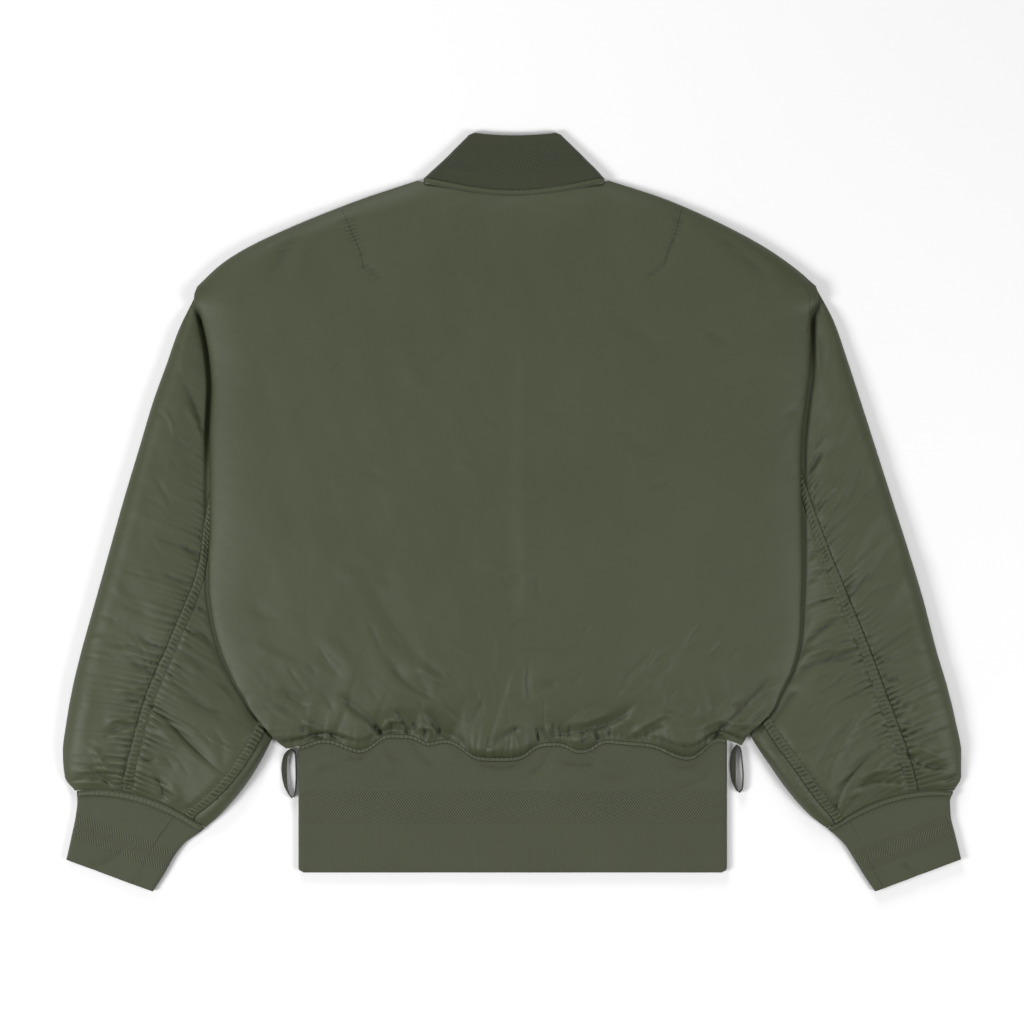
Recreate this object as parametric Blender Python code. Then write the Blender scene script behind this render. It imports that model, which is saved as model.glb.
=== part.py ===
"""Bomber jacket in padded nylon satin with ribbed collar, cuffs and hem.

It lies closed on its front, back upwards, collar towards +Y, with the sleeves drawn in under the
sides of the body. The floor is z = 0 and the origin is the middle of the jacket's footprint.
Lengths in the tables and in the functions are millimetres; a mesh gets them in metres.
"Left" is the wearer's left, at -X.
"""
import math
from collections import namedtuple

import bmesh
import bpy
import numpy as np
from mathutils import Matrix, Vector
from mathutils.bvhtree import BVHTree

# ---------------------------------------------------------------- driving sizes, millimetres
MM = 0.001
WALL = 3.0                 # shell, wadding and lining, quilted flat
RIB_WALL = 2.6             # double rib knit
SEAM_GAP = 0.3             # between sewn pieces
CORNER_GAP = 0.7           # where the hem seam turns round the side
LAY_GAP = 0.6              # between layers that lie on each other
FOLD_AIR = 1.6             # air inside a folded edge
LAYERS_PRESSED = 8.0       # a sleeve pressed flat under the body
SLEEVE_LOFT = 14.0         # how much a sleeve rises once it is clear of the body
LOFT_REACH = 20.0          # over this distance from the body's edge
SIDE_ROLL = 45.0           # width of the round shoulder of the body's edge
HEM_ROLL = 25.0            # the same at the hem seam
ROLL_GROWTH = 40.0         # the shoulder widens over this height above the hem seam
FLAP_ROLL = 8.0            # under half of the folded edge
FLAP_ROLL_SHARE = 0.7      # but at most this share of the flap
NECK_DIP = 15.5            # the back neckline hangs this far at its middle
NECK_DIP_REACH = 60.0      # the rows of cloth follow it down to this far below the neck
HEM_Y = -233.0             # mean line of the hem seam
HEM_WAVE_REACH = 50.0      # the rows of cloth follow the seam's wave up to this height
BAND_WAVE_REACH = 40.0     # and the band's rows down to this depth
GATHER_REACH = 36.0        # height of the gathers above the hem seam
NECK_Y = 332.0             # side neck points
FRONT_NECK_Y = 258.0       # top of the zip
HEM_BOTTOM_Y = -361.0      # lower edge of the hem band
BAND_HEIGHT = 7.4          # both layers of the hem band
BAND_LEFT, BAND_RIGHT = -214.0, 215.5
CUFF_HEIGHT = 8.4          # both layers of a cuff
NOSE = 4.3                 # height of the roundest point of a sleeve's edge
ZIP_HALF = 3.6             # the front edges stop this far from the middle
ZIP_CHANNEL = (12.0, 20.0)  # the fronts rise over the zip between these distances
ZIP_RISE = 5.0             # and by this much
ZIP_RISE_START = 10.0      # beginning this far above the hem seam
ZIP_RISE_LENGTH = 240.0    # and growing over this length
LEAST_FRONT = 1.5          # the fronts end where they are this narrow
CHANNEL_STEP = 8.0         # spacing of a front's first columns near its neckline
CHANNEL_SEAM = 60.0        # the fronts follow the zip's channel where they are wider than this
CUFF_SEAM_DROP = 0.8       # the cuffs start this far below the sleeves
LOFT_START = 4.0           # the sleeve starts to rise this far outside the body's edge
SIDE_SEAM_TOP = -50.0      # the armpit: below it the flap meets the front on the floor
REST_REACH = (6.0, 12.0)    # a layer rests on the highest point this near
STEP_IN = 4.0              # the flap comes down this far inside the sleeve's inner edge
STEP_ABOVE = 0.2           # above the armpit it comes down over this share of the flap
STEP_SHARES = (0.05, 0.8)  # least and most of the flap between the front and the sleeve
FLAT_BODY = (8.0, 8.0)     # the back folds only above this height, and fully this much higher
NECK_FADE = (6.0, 30.0)    # folds end this far above the neck's mean line, over this distance

# ---------------------------------------------------------------- the body's levels
# y: height up the back; left, right: folded edges; seam_*: hidden edge of the flap under them;
# top: height of the back above the floor
BodyLevel = namedtuple("BodyLevel", "y left right seam_left seam_right top")
BODY = [
    BodyLevel(-233, -226, 230, -210, 212, 8.6),
    BodyLevel(-228, -233, 233, -207, 209, 13.5),
    BodyLevel(-220, -241, 238, -204, 206, 17.5),
    BodyLevel(-211, -249, 248, -201, 203, 20.0),
    BodyLevel(-196, -261, 261, -198, 199, 22.0),
    BodyLevel(-186, -267, 266, -196, 197, 23.0),
    BodyLevel(-174, -275, 272, -193.5, 194.5, 23.5),
    BodyLevel(-160, -282, 279, -190.5, 191.5, 24.0),
    BodyLevel(-145, -289, 284, -187, 188, 24.0),
    BodyLevel(-127, -295, 287.5, -183, 184, 24.0),
    BodyLevel(-104, -300, 289, -177, 178, 24.0),
    BodyLevel(-76, -303.5, 290, -169, 170, 24.0),
    BodyLevel(-60, -303.5, 290.5, -171, 171, 24.0),
    BodyLevel(-48, -303.5, 290.5, -182, 182, 24.0),
    BodyLevel(-14, -302, 290, -200, 197, 24.0),
    BodyLevel(48, -302, 289, -232, 224, 24.0),
    BodyLevel(76, -302, 281, -246, 236, 24.0),
    BodyLevel(99, -301, 277, -258, 246, 24.0),
    BodyLevel(122, -300, 295, -269, 256, 24.0),
    BodyLevel(150, -302, 298.5, -283, 268, 24.0),
    BodyLevel(198, -312, 298.5, -300, 287, 23.0),
    BodyLevel(214, -317.5, 301, -305, 288, 22.5),
    BodyLevel(223, -316, 302, -304, 289, 22.0),
    BodyLevel(234, -307, 295.5, -296, 284, 21.5),
    BodyLevel(250, -289, 276, -279, 266, 20.5),
    BodyLevel(266, -263, 252, -254, 243, 19.5),
    BodyLevel(282, -229, 223, -221, 215, 18.5),
    BodyLevel(298, -191, 190, -184, 183, 17.0),
    BodyLevel(314, -149, 152, -142, 145, 15.0),
    BodyLevel(332, -97, 99, -92, 94, 11.5),
]

# The hem seam is gathered: it dips where the cloth bags over the band
HemPoint = namedtuple("HemPoint", "x y")
HEM_WAVE = [
    HemPoint(-232, -238), HemPoint(-215, -235), HemPoint(-187, -226.6), HemPoint(-167, -233),
    HemPoint(-152, -238), HemPoint(-139, -232), HemPoint(-128, -222), HemPoint(-98, -223),
    HemPoint(-86, -231), HemPoint(-66, -226.6), HemPoint(-51, -233), HemPoint(-38, -244),
    HemPoint(-13, -245.6), HemPoint(10, -244), HemPoint(26, -231), HemPoint(51, -230),
    HemPoint(64, -238), HemPoint(78, -237), HemPoint(90, -227), HemPoint(112, -229),
    HemPoint(142, -232), HemPoint(164, -242), HemPoint(178, -245), HemPoint(192, -236),
    HemPoint(205, -225), HemPoint(232, -235),
]

# Largest folds of the back: from, to, half width and height (a hollow is negative)
Fold = namedtuple("Fold", "x0 y0 x1 y1 width height")
BACK_FOLDS = [
    Fold(8, 220, 9, -200, 18, 1.6),
    Fold(-170, 304, -147, 240, 9, -2.1),
    Fold(169, 304, 151, 242, 9, -2.1),
    Fold(-147, 238, -120, 226, 11, -1.6),
    Fold(-136, -134, -66, -194, 13, -3.3),
    Fold(-98, -151, -66, -174, 12, 3),
    Fold(-177, -179, -133, -221, 13, -3.9),
    Fold(-217, -214, -192, -226, 12, -2.4),
    Fold(-212, -206, -187, -222, 12, 2.4),
    Fold(-235, -178, -202, -198, 12, -2.7),
    Fold(-93, -196, -50, -234, 12, -3.6),
    Fold(-70, -200, -52, -222, 12, 3),
    Fold(-20, -231, 8, -216, 12, 3.3),
    Fold(-12, -222, 19, -214, 12, -3),
    Fold(53, -222, 107, -207, 12, -3.9),
    Fold(107, -207, 126, -188, 12, -3.3),
    Fold(121, -222, 154, -203, 12, 3.9),
    Fold(24, -181, 48, -173, 12, -2.4),
    Fold(101, -179, 145, -133, 13, -2.7),
    Fold(205, -222, 257, -168, 15, -4.5),
    Fold(228, -222, 264, -178, 12, 3.6),
    Fold(-159, -43, -63, -176, 16, -1.8),
    Fold(16, -151, 17, -194, 12, -2.4),
    Fold(103, 74, 142, 56, 15, -1.6),
    Fold(88, 204, 160, 149, 18, -1.6),
    Fold(-219, 282, -243, 227, 13, -2.1),
    Fold(190, 288, 268, 221, 15, -2.1),
]

# ---------------------------------------------------------------- the sleeves
# Each section runs from the outer edge to the inner edge; bow: how far it arches towards the
# shoulder; loft: height where nothing presses on it
SleeveSection = namedtuple("SleeveSection", "out_x out_y in_x in_y bow loft")
SLEEVE = {
    "left": [
        SleeveSection(-318, 215, -183, -48, 0, 15), SleeveSection(-334, 182, -188, -72, 0, 17),
        SleeveSection(-346, 148, -193, -94, 0, 18), SleeveSection(-359, 112, -200, -115, 0, 19),
        SleeveSection(-374, 62, -209, -142, 0, 20), SleeveSection(-389, 12, -218, -167, 0, 21),
        SleeveSection(-403, -38, -226, -190, 0, 22), SleeveSection(-417, -88, -236, -217, 0, 22),
        SleeveSection(-431, -138, -246, -239, 2, 22), SleeveSection(-440, -175, -256, -257, 4, 22),
        SleeveSection(-446, -208, -268, -275, 7, 21), SleeveSection(-450, -240, -280, -290, 10, 19),
        SleeveSection(-448, -265, -294, -305, 13, 14), SleeveSection(-438, -279, -307, -316, 15, 8.6),
    ],
    "right": [
        SleeveSection(306, 222, 183, -48, 0, 15), SleeveSection(322, 192, 188, -72, 0, 17),
        SleeveSection(336, 152, 193, -94, 0, 18), SleeveSection(349, 112, 200, -115, 0, 19),
        SleeveSection(365, 62, 209, -142, 0, 20), SleeveSection(381, 12, 218, -167, 0, 21),
        SleeveSection(397, -38, 227, -192, 0, 22), SleeveSection(412, -88, 238, -222, 0, 22),
        SleeveSection(425, -138, 250, -242, 2, 22), SleeveSection(436, -175, 261, -258, 4, 22),
        SleeveSection(444, -208, 273, -275, 6, 21), SleeveSection(450, -240, 286, -291, 9, 19),
        SleeveSection(450, -264, 301, -306, 12, 14), SleeveSection(443, -279, 316, -317, 14, 8.6),
    ],
}
SeamPoint = namedtuple("SeamPoint", "x y")
ELBOW_SEAM = {
    "left": [SeamPoint(-272, 122), SeamPoint(-290, 60), SeamPoint(-302, 0), SeamPoint(-310, -58),
             SeamPoint(-333, -120), SeamPoint(-363, -193), SeamPoint(-377, -244), SeamPoint(-385, -279)],
    "right": [SeamPoint(256, 122), SeamPoint(280, 66), SeamPoint(290, 25), SeamPoint(312, -39),
              SeamPoint(349, -131), SeamPoint(374, -198), SeamPoint(395, -258), SeamPoint(403, -287)],
}
INNER_SEAM = {
    "left": [SeamPoint(-199, -18), SeamPoint(-214, -96), SeamPoint(-232, -160), SeamPoint(-250, -212),
             SeamPoint(-278, -260), SeamPoint(-301, -285), SeamPoint(-324, -303)],
    "right": [SeamPoint(199, -18), SeamPoint(214, -96), SeamPoint(234, -160), SeamPoint(255, -209),
              SeamPoint(287, -255), SeamPoint(307, -283), SeamPoint(328, -307)],
}
# Largest folds of the sleeves, as for the back
SLEEVE_FOLDS = {
    "left": [
        Fold(-332, 138, -306, 69, 9, -1.8), Fold(-332, -31, -312, -46, 8, -1.6),
        Fold(-379, -122, -345, -136, 9, -1.8), Fold(-377, -152, -356, -161, 9, -1.6),
        Fold(-356, -198, -292, -258, 9, -2.8), Fold(-343, -163, -265, -205, 9, -2.4),
        Fold(-350, -180, -300, -215, 8, 2.0), Fold(-320, -120, -297, -136, 8, -1.6),
        Fold(-405, -223, -373, -212, 8, -2.0), Fold(-421, -255, -400, -276, 8, -2.6),
        Fold(-361, -264, -350, -294, 8, -2.6), Fold(-439, -271, -405, -269, 8, 2.0),
    ],
    "right": [
        Fold(294, 30, 310, 62, 9, -1.8), Fold(307, 7, 323, 28, 8, 1.6),
        Fold(289, -74, 314, -62, 8, -1.8), Fold(287, -136, 330, -106, 9, -2.4),
        Fold(282, -154, 339, -134, 8, 2.0), Fold(335, -95, 358, -58, 9, -1.6),
        Fold(326, -290, 367, -235, 9, -3.0), Fold(346, -267, 383, -255, 8, 2.0),
        Fold(395, -244, 440, -258, 8, -2.4), Fold(372, -166, 383, -167, 8, -1.6),
        Fold(431, -271, 447, -264, 7, -2.0), Fold(337, -276, 395, -271, 7, -1.8),
    ],
}
PUCKER = 1.9               # height of the gathers beside the elbow seam
PUCKER_REACH = 9.0         # their middle's distance from the stitching
PUCKER_WIDTH = 6.0         # and their half width
SEAM_SINK = 1.4            # how far stitching draws the cloth down
SINK_WIDTH = 5.0           # over this half width
CUFF_GATHER = 1.5          # height of the gathers at the cuffs
GATHER_PITCH = 22.0        # and their spacing
CUFF_GATHER_SHARE = 0.05   # the gathers run over this share of the sleeve's length
SLEEVE_FLAT = (0.6, 6.0)   # a sleeve folds only this far above its pressed height, fully so much higher
HEM_GATHER = 0.4           # how much higher the cloth stands for each mm that the hem dips

# ---------------------------------------------------------------- cuffs, collar and loops
CuffSection = namedtuple("CuffSection", "out_x out_y in_x in_y bow")
CUFF = {
    "left": [
        CuffSection(-436, -280, -307.6, -316.6, 15), CuffSection(-435.5, -290, -317, -324, 9),
        CuffSection(-437, -304, -327, -331, 4), CuffSection(-440.5, -321, -337, -343, 1),
        CuffSection(-443.5, -335, -348, -362, 0), CuffSection(-446.5, -348, -359.5, -380, 0),
    ],
    "right": [
        CuffSection(442, -280, 316.6, -317.6, 14), CuffSection(439, -290, 323, -323, 9),
        CuffSection(439.5, -304, 333, -333, 4), CuffSection(443.5, -321, 341, -345, 1),
        CuffSection(447, -335, 352, -363, 0), CuffSection(450, -347.5, 363.5, -380, 0),
    ],
}
# The collar's levels, from the neck seam to its top edge: folded sides, back and front ends
CollarLevel = namedtuple("CollarLevel", "left left_y right right_y back_y front_y height")
COLLAR = [
    CollarLevel(-90, 333.5, 94, 333.5, 317.3, 259, 11.0),
    CollarLevel(-80, 342, 85.5, 342, 326.5, 270, 10.6),
    CollarLevel(-69, 352, 75.5, 352, 341, 283, 10.0),
    CollarLevel(-57, 364, 63.5, 364, 357, 298, 9.2),
    CollarLevel(-46, 375, 52, 375, 371, 311, 8.4),
    CollarLevel(-41, 379.7, 47, 379.7, 377, 317, 7.6),
]
# Folded tape loops in the side seams: tilt is the tape's turn from lying flat, degrees
LoopPoint = namedtuple("LoopPoint", "x y tilt")
LOOP = {
    "left": [
        LoopPoint(-221, -237.4, 84), LoopPoint(-226.3, -243, 58), LoopPoint(-228.5, -257, 35),
        LoopPoint(-227.5, -270, 52), LoopPoint(-224.5, -281, 80), LoopPoint(-220, -286.5, 90),
        LoopPoint(-217, -279, 90), LoopPoint(-216.3, -265, 90), LoopPoint(-216.6, -250, 90),
        LoopPoint(-217.4, -241, 88),
    ],
    "right": [
        LoopPoint(225.4, -233.6, 84), LoopPoint(221.9, -241, 58), LoopPoint(221.3, -254, 35),
        LoopPoint(221.8, -266, 52), LoopPoint(224, -276, 80), LoopPoint(227.5, -281, 90),
        LoopPoint(231, -276, 90), LoopPoint(231.6, -264, 90), LoopPoint(230.4, -249, 90),
        LoopPoint(229, -237, 88),
    ],
}
LOOP_WIDTH = 6.4
LOOP_WALL = 1.0

# ---------------------------------------------------------------- the zip
TAPE_WIDTH = 13.0
TAPE_WALL = 0.8
CHAIN_HALF = 3.0
CHAIN_DEPTH = 2.6
SLIDER_Y = 248.0
SLIDER_SIZE = (9.0, 13.0, 1.9)      # across, along, deep
SLIDER_Z = 2.9
LUG_SIZE = (2.6, 2.4)               # across, along
HINGE_Z = 1.4
PIN_RADIUS = 0.4
PULL_SIZE = (7.4, 27.0, 1.9)
PULL_SLOT = 3.4                     # fork opening
PULL_HOLE = 0.7
PULL_EDGE = 0.45                    # softened edges
SLIDER_EDGE = 0.6
SLOT_DEPTH = 5.0                    # how far the fork opens beyond the hinge's eye
PIN_INSET = 0.4                     # the pin ends this far inside the fork's sides
LUG_COVER = 0.3                     # metal below the pin
LUG_ROOT = 0.5                      # the lug's depth in the slider
ZIP_TOP_GAP, ZIP_BOTTOM_GAP = 2.0, 4.0   # the tapes end this far inside the front edges

NYLON = (0.082, 0.091, 0.060)
RIB = (0.072, 0.078, 0.052)
TAPE = (0.060, 0.066, 0.044)
METAL = (0.16, 0.15, 0.12)

# Angles round a folded edge, from its roundest point
ROLL_UP = (12, 27, 44, 64, 90)
ROLL_UNDER = (38, 90)
CENTRE_COLUMNS = 26
FLAP_COLUMNS = 3
SEAM_STEPS = 160           # points along a seam or a section, to find where they cross
CUFF_COLUMNS = 9
COLLAR_COLUMNS = 15
LOOP_STEPS = 24
BAND_ROWS = (0, 9, 26, 50, 84, HEM_Y - HEM_BOTTOM_Y)   # depths below the hem seam
FLOOR_SHARES = (0.0, 0.34, 0.67, 1.0)                  # columns of the collar's front ends


# ================================================================ curves
def spline(knots, values, at):
    """Monotone cubic through the knots, which may rise or fall evenly."""
    x = np.asarray(knots, float)
    y = np.asarray(values, float)
    step = np.diff(x)
    slope = np.diff(y) / step
    tangent = np.zeros_like(y)
    tangent[0], tangent[-1] = slope[0], slope[-1]
    for i in range(1, len(y) - 1):
        if slope[i - 1] * slope[i] > 0:
            w1, w2 = 2 * step[i] + step[i - 1], step[i] + 2 * step[i - 1]
            tangent[i] = (w1 + w2) / (w1 / slope[i - 1] + w2 / slope[i])
    at = np.clip(np.asarray(at, float), x[0], x[-1])
    i = np.clip(np.searchsorted(x, at) - 1, 0, len(step) - 1)
    t = (at - x[i]) / step[i]
    return ((1 + 2 * t) * (1 - t) ** 2 * y[i] + t * (1 - t) ** 2 * step[i] * tangent[i]
            + t * t * (3 - 2 * t) * y[i + 1] + t * t * (t - 1) * step[i] * tangent[i + 1])


def column(rows, name):
    """One named column of a table."""
    return np.array([getattr(row, name) for row in rows], float)


def path_points(points, count):
    """Evenly spaced points on a smooth curve through a table's x and y."""
    x, y = column(points, "x"), column(points, "y")
    along = np.concatenate(([0], np.cumsum(np.hypot(np.diff(x), np.diff(y)))))
    at = np.linspace(0, along[-1], count)
    return np.column_stack((spline(along, x, at), spline(along, y, at)))


def fold_height(folds, x, y):
    """Sum of the folds at a point: each is a soft ridge or hollow that fades at its ends."""
    total = 0.0
    for fold in folds:
        dx, dy = fold.x1 - fold.x0, fold.y1 - fold.y0
        length = math.hypot(dx, dy)
        along = ((x - fold.x0) * dx + (y - fold.y0) * dy) / length
        across = ((x - fold.x0) * dy - (y - fold.y0) * dx) / length
        beyond = max(0.0, -along, along - length)
        total += fold.height * math.exp(-(across / fold.width) ** 2 - (beyond / fold.width) ** 2)
    return total


def roll(angle):
    """Run and rise of a quarter ellipse at an angle from its roundest point, as shares."""
    turn = math.radians(angle)
    return 1 - math.cos(turn), math.sin(turn)


# ================================================================ meshes
def material(name, colour, roughness, metallic=0.0):
    """A plain finish."""
    finish = bpy.data.materials.new(name)
    finish.use_nodes = True
    shader = finish.node_tree.nodes["Principled BSDF"]
    shader.inputs["Base Color"].default_value = (*colour, 1.0)
    shader.inputs["Roughness"].default_value = roughness
    shader.inputs["Metallic"].default_value = metallic
    return finish


def add_object(name, mesh, finish, parent):
    """A named, smooth-shaded piece."""
    mesh.materials.append(finish)
    mesh.shade_smooth()
    mesh.set_sharp_from_angle(angle=math.radians(40))
    piece = bpy.data.objects.new(name, mesh)
    piece.parent = parent
    bpy.context.collection.objects.link(piece)
    return piece


def cloth(name, outer, inner, ring=False):
    """Closed wall between two grids of points, [row][column], in millimetres.

    A ring's last column meets its first; otherwise both side edges are closed too.
    """
    outer, inner = np.asarray(outer, float), np.asarray(inner, float)
    rows, columns = outer.shape[:2]
    bm = bmesh.new()
    grids = [[[bm.verts.new(Vector(point) * MM) for point in row] for row in grid]
             for grid in (outer, inner)]
    wraps = columns if ring else columns - 1
    for grid in grids:
        for i in range(rows - 1):
            for j in range(wraps):
                k = (j + 1) % columns
                bm.faces.new((grid[i][j], grid[i][k], grid[i + 1][k], grid[i + 1][j]))
    top, under = grids
    for i in (0, rows - 1):
        for j in range(wraps):
            k = (j + 1) % columns
            bm.faces.new((top[i][j], top[i][k], under[i][k], under[i][j]))
    if not ring:
        for j in (0, columns - 1):
            for i in range(rows - 1):
                bm.faces.new((top[i][j], top[i + 1][j], under[i + 1][j], under[i][j]))
    bmesh.ops.recalc_face_normals(bm, faces=bm.faces)
    mesh = bpy.data.meshes.new(name)
    bm.to_mesh(mesh)
    bm.free()
    return mesh


# ================================================================ the body
def hem_offset(x):
    """How far the gathered hem seam lies above its mean line."""
    return float(spline(column(HEM_WAVE, "x"), column(HEM_WAVE, "y"), x)) - HEM_Y


def hem_share(y):
    """How much of the hem's wave a level takes: all at the seam, none at the top of its reach."""
    return max(0.0, 1 - (y - HEM_Y) / HEM_WAVE_REACH) ** 1.5


def neck_offset(level, x):
    """How far the back neckline's dip draws a row of cloth down at x."""
    share = max(0.0, 1 - (NECK_Y - level.y) / NECK_DIP_REACH)
    middle = 0.5 * (level.left + level.right)
    across = (x - middle) / (0.5 * (level.right - level.left))
    return share * NECK_DIP * (1 - min(1, across ** 2))


def row_y(level, x):
    """Height up the back of a row of cloth at x, with the hem's wave and the neck's dip."""
    return level.y + hem_share(level.y) * hem_offset(x) - neck_offset(level, x)


def back_height(level, x, y):
    """Top of the back at a point, with its folds and the gathers over the hem."""
    flat, full = FLAT_BODY
    beyond, fade_length = NECK_FADE
    fade = (min(1.0, (level.top - flat) / full)
            * min(1.0, max(0.0, (NECK_Y + beyond - y) / fade_length)))
    gather = 0.0
    if level.y > HEM_Y:
        gather = -HEM_GATHER * hem_offset(x) * max(0.0, 1 - (level.y - HEM_Y) / GATHER_REACH)
    return level.top + fade * (fold_height(BACK_FOLDS, x, y) + gather)


def sleeve_surface(meshes):
    """Rays down onto the laid sleeves; gives a function for the height of what lies at a point."""
    trees = []
    for mesh in meshes:
        bm = bmesh.new()
        bm.from_mesh(mesh)
        trees.append(BVHTree.FromBMesh(bm))
        bm.free()
    reach = [(0, 0)] + [(radius * math.cos(turn), radius * math.sin(turn))
                        for radius in REST_REACH for turn in np.radians(np.arange(0, 360, 30))]
    above = 1.0

    def height(x, y):
        highest = 0.0
        for tree in trees:
            for dx, dy in reach:
                hit = tree.ray_cast(Vector(((x + dx) * MM, (y + dy) * MM, above)), Vector((0, 0, -1)))
                if hit[0] is not None:
                    highest = max(highest, hit[0].z / MM)
        return highest

    return height


def side_section(level, side, lies_on):
    """Flap, folded edge and rounded side of the body at one level.

    Gives outer and inner (x, z) from the hidden seam up to the back's level part. The flap lies
    on the sleeve or the floor.
    """
    edge, seam, inward = ((level.left, level.seam_left, 1) if side == "left"
                          else (level.right, level.seam_right, -1))
    flap = abs(seam - edge)
    under = min(FLAP_ROLL, FLAP_ROLL_SHARE * flap)
    sleeve_edge = spline(-column(SLEEVE[side], "in_y"), abs(column(SLEEVE[side], "in_x")), -level.y)
    step = STEP_ABOVE
    if level.y < SIDE_SEAM_TOP:
        step = (sleeve_edge - STEP_IN - abs(seam)) / (flap - under)
    least, most = STEP_SHARES
    step = min(most, max(least, step))
    flap_x = [seam - inward * share * (flap - under) for share in (0.0, step, 0.5 * (1 + step))]
    rests = [lies_on(x, row_y(level, x)) for x in flap_x]
    fold_rest = lies_on(edge + inward * under, row_y(level, edge))
    rests[1] = max(rests[1:])
    rests = [rest + LAY_GAP if rest > 0 else 0.0 for rest in rests]
    fold_rest = fold_rest + LAY_GAP if fold_rest > 0 else 0.0
    if level.y < SIDE_SEAM_TOP:
        rests[0] = 0.0
    nose = fold_rest + WALL + FOLD_AIR
    top = max(level.top, nose + WALL + FOLD_AIR) if level.y > HEM_Y else level.top
    roll_width = HEM_ROLL + (SIDE_ROLL - HEM_ROLL) * min(1.0, (level.y - HEM_Y) / ROLL_GROWTH)
    outer = [(x, z) for x, z in zip(flap_x, rests)]
    inner = [(x, z + WALL) for x, z in zip(flap_x, rests)]
    for angle in reversed((0,) + ROLL_UNDER):
        run, rise = roll(angle)
        outer.append((edge + inward * under * run, nose - (nose - fold_rest) * rise))
        inner.append((edge + inward * (WALL + (under - WALL) * run),
                      nose - (nose - fold_rest - WALL) * rise))
    for angle in ROLL_UP:
        run, rise = roll(angle)
        outer.append((edge + inward * roll_width * run, nose + (top - nose) * rise))
        inner.append((edge + inward * (WALL + (roll_width - WALL) * run),
                      nose + (top - WALL - nose) * rise))
    return outer, inner, top


def back_panel(lies_on):
    """The whole back: one cloth from the left hidden seam over the top to the right one."""
    outer_rows, inner_rows = [], []
    for level in BODY:
        left_out, left_in, top = side_section(level, "left", lies_on)
        right_out, right_in, _ = side_section(level, "right", lies_on)
        first, last = left_out[-1][0], right_out[-1][0]
        middle = [first + (last - first) * i / (CENTRE_COLUMNS + 1) for i in range(1, CENTRE_COLUMNS + 1)]
        outer = left_out + [(x, top) for x in middle] + right_out[::-1]
        inner = left_in + [(x, top - WALL) for x in middle] + right_in[::-1]
        rise = len(left_out) - len(ROLL_UP)
        row_out, row_in = [], []
        for j, ((xo, zo), (xi, zi)) in enumerate(zip(outer, inner)):
            yo, yi = row_y(level, xo), row_y(level, xi)
            share = 0.0
            if rise <= j < len(outer) - rise:
                share = min(1.0, (j - rise + 1) / len(ROLL_UP), (len(outer) - rise - j) / len(ROLL_UP))
            lift = share * (back_height(level, xo, yo) - level.top)
            row_out.append((xo, yo, zo + lift))
            row_in.append((xi, yi, zi + lift))
        outer_rows.append(row_out)
        inner_rows.append(row_in)
    return cloth("back", outer_rows, inner_rows)


def neckline_x(y, side):
    """Half width of the front neckline at a height: it runs straight along the collar's seam."""
    low = COLLAR[0]
    share = min(1.0, max(0.0, (y - low.front_y) / (low.left_y - low.front_y)))
    side_neck = abs(getattr(low, side)) - low.height / 2 + 1.5 * SEAM_GAP
    return ZIP_HALF + (side_neck - ZIP_HALF) * share


def zip_lift(y):
    """How far the front edges rise for the zip: not at all at the hem, fully at the slider."""
    share = min(1.0, max(0.0, (y - HEM_Y - ZIP_RISE_START) / ZIP_RISE_LENGTH))
    return ZIP_RISE * share * share * (3 - 2 * share)


def front_panel(side):
    """One front, flat on the floor, raised over the zip along its middle edge."""
    sign = -1 if side == "left" else 1
    outer_rows, inner_rows = [], []
    for level in BODY:
        seam = abs(getattr(level, "seam_" + side)) - SEAM_GAP
        start = neckline_x(level.y, side)
        if seam - start < LEAST_FRONT:
            break
        rise = zip_lift(level.y) * max(0.0, 1 - (start - ZIP_HALF) / ZIP_CHANNEL[1])
        channel = [min(start + 1 + CHANNEL_STEP * i, start + (seam - start) * 0.3 * (i + 1))
                   for i in range(2)]
        channel = [max(x, edge) if seam > CHANNEL_SEAM else x
                   for x, edge in zip(channel, ZIP_CHANNEL)]
        across = [start] + channel + [0.5 * (channel[-1] + seam), seam]
        heights = [rise, rise, 0.0, 0.0, 0.0]
        drop = neck_offset(level, sign * seam)
        outer_rows.append([
            (sign * x, level.y + hem_share(level.y) * hem_offset(sign * x)
             - drop * (x - start) / (seam - start), z) for x, z in zip(across, heights)])
        inner_rows.append([(x, y, z + WALL) for x, y, z in outer_rows[-1]])
    return cloth("front_" + side, outer_rows, inner_rows)


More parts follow.
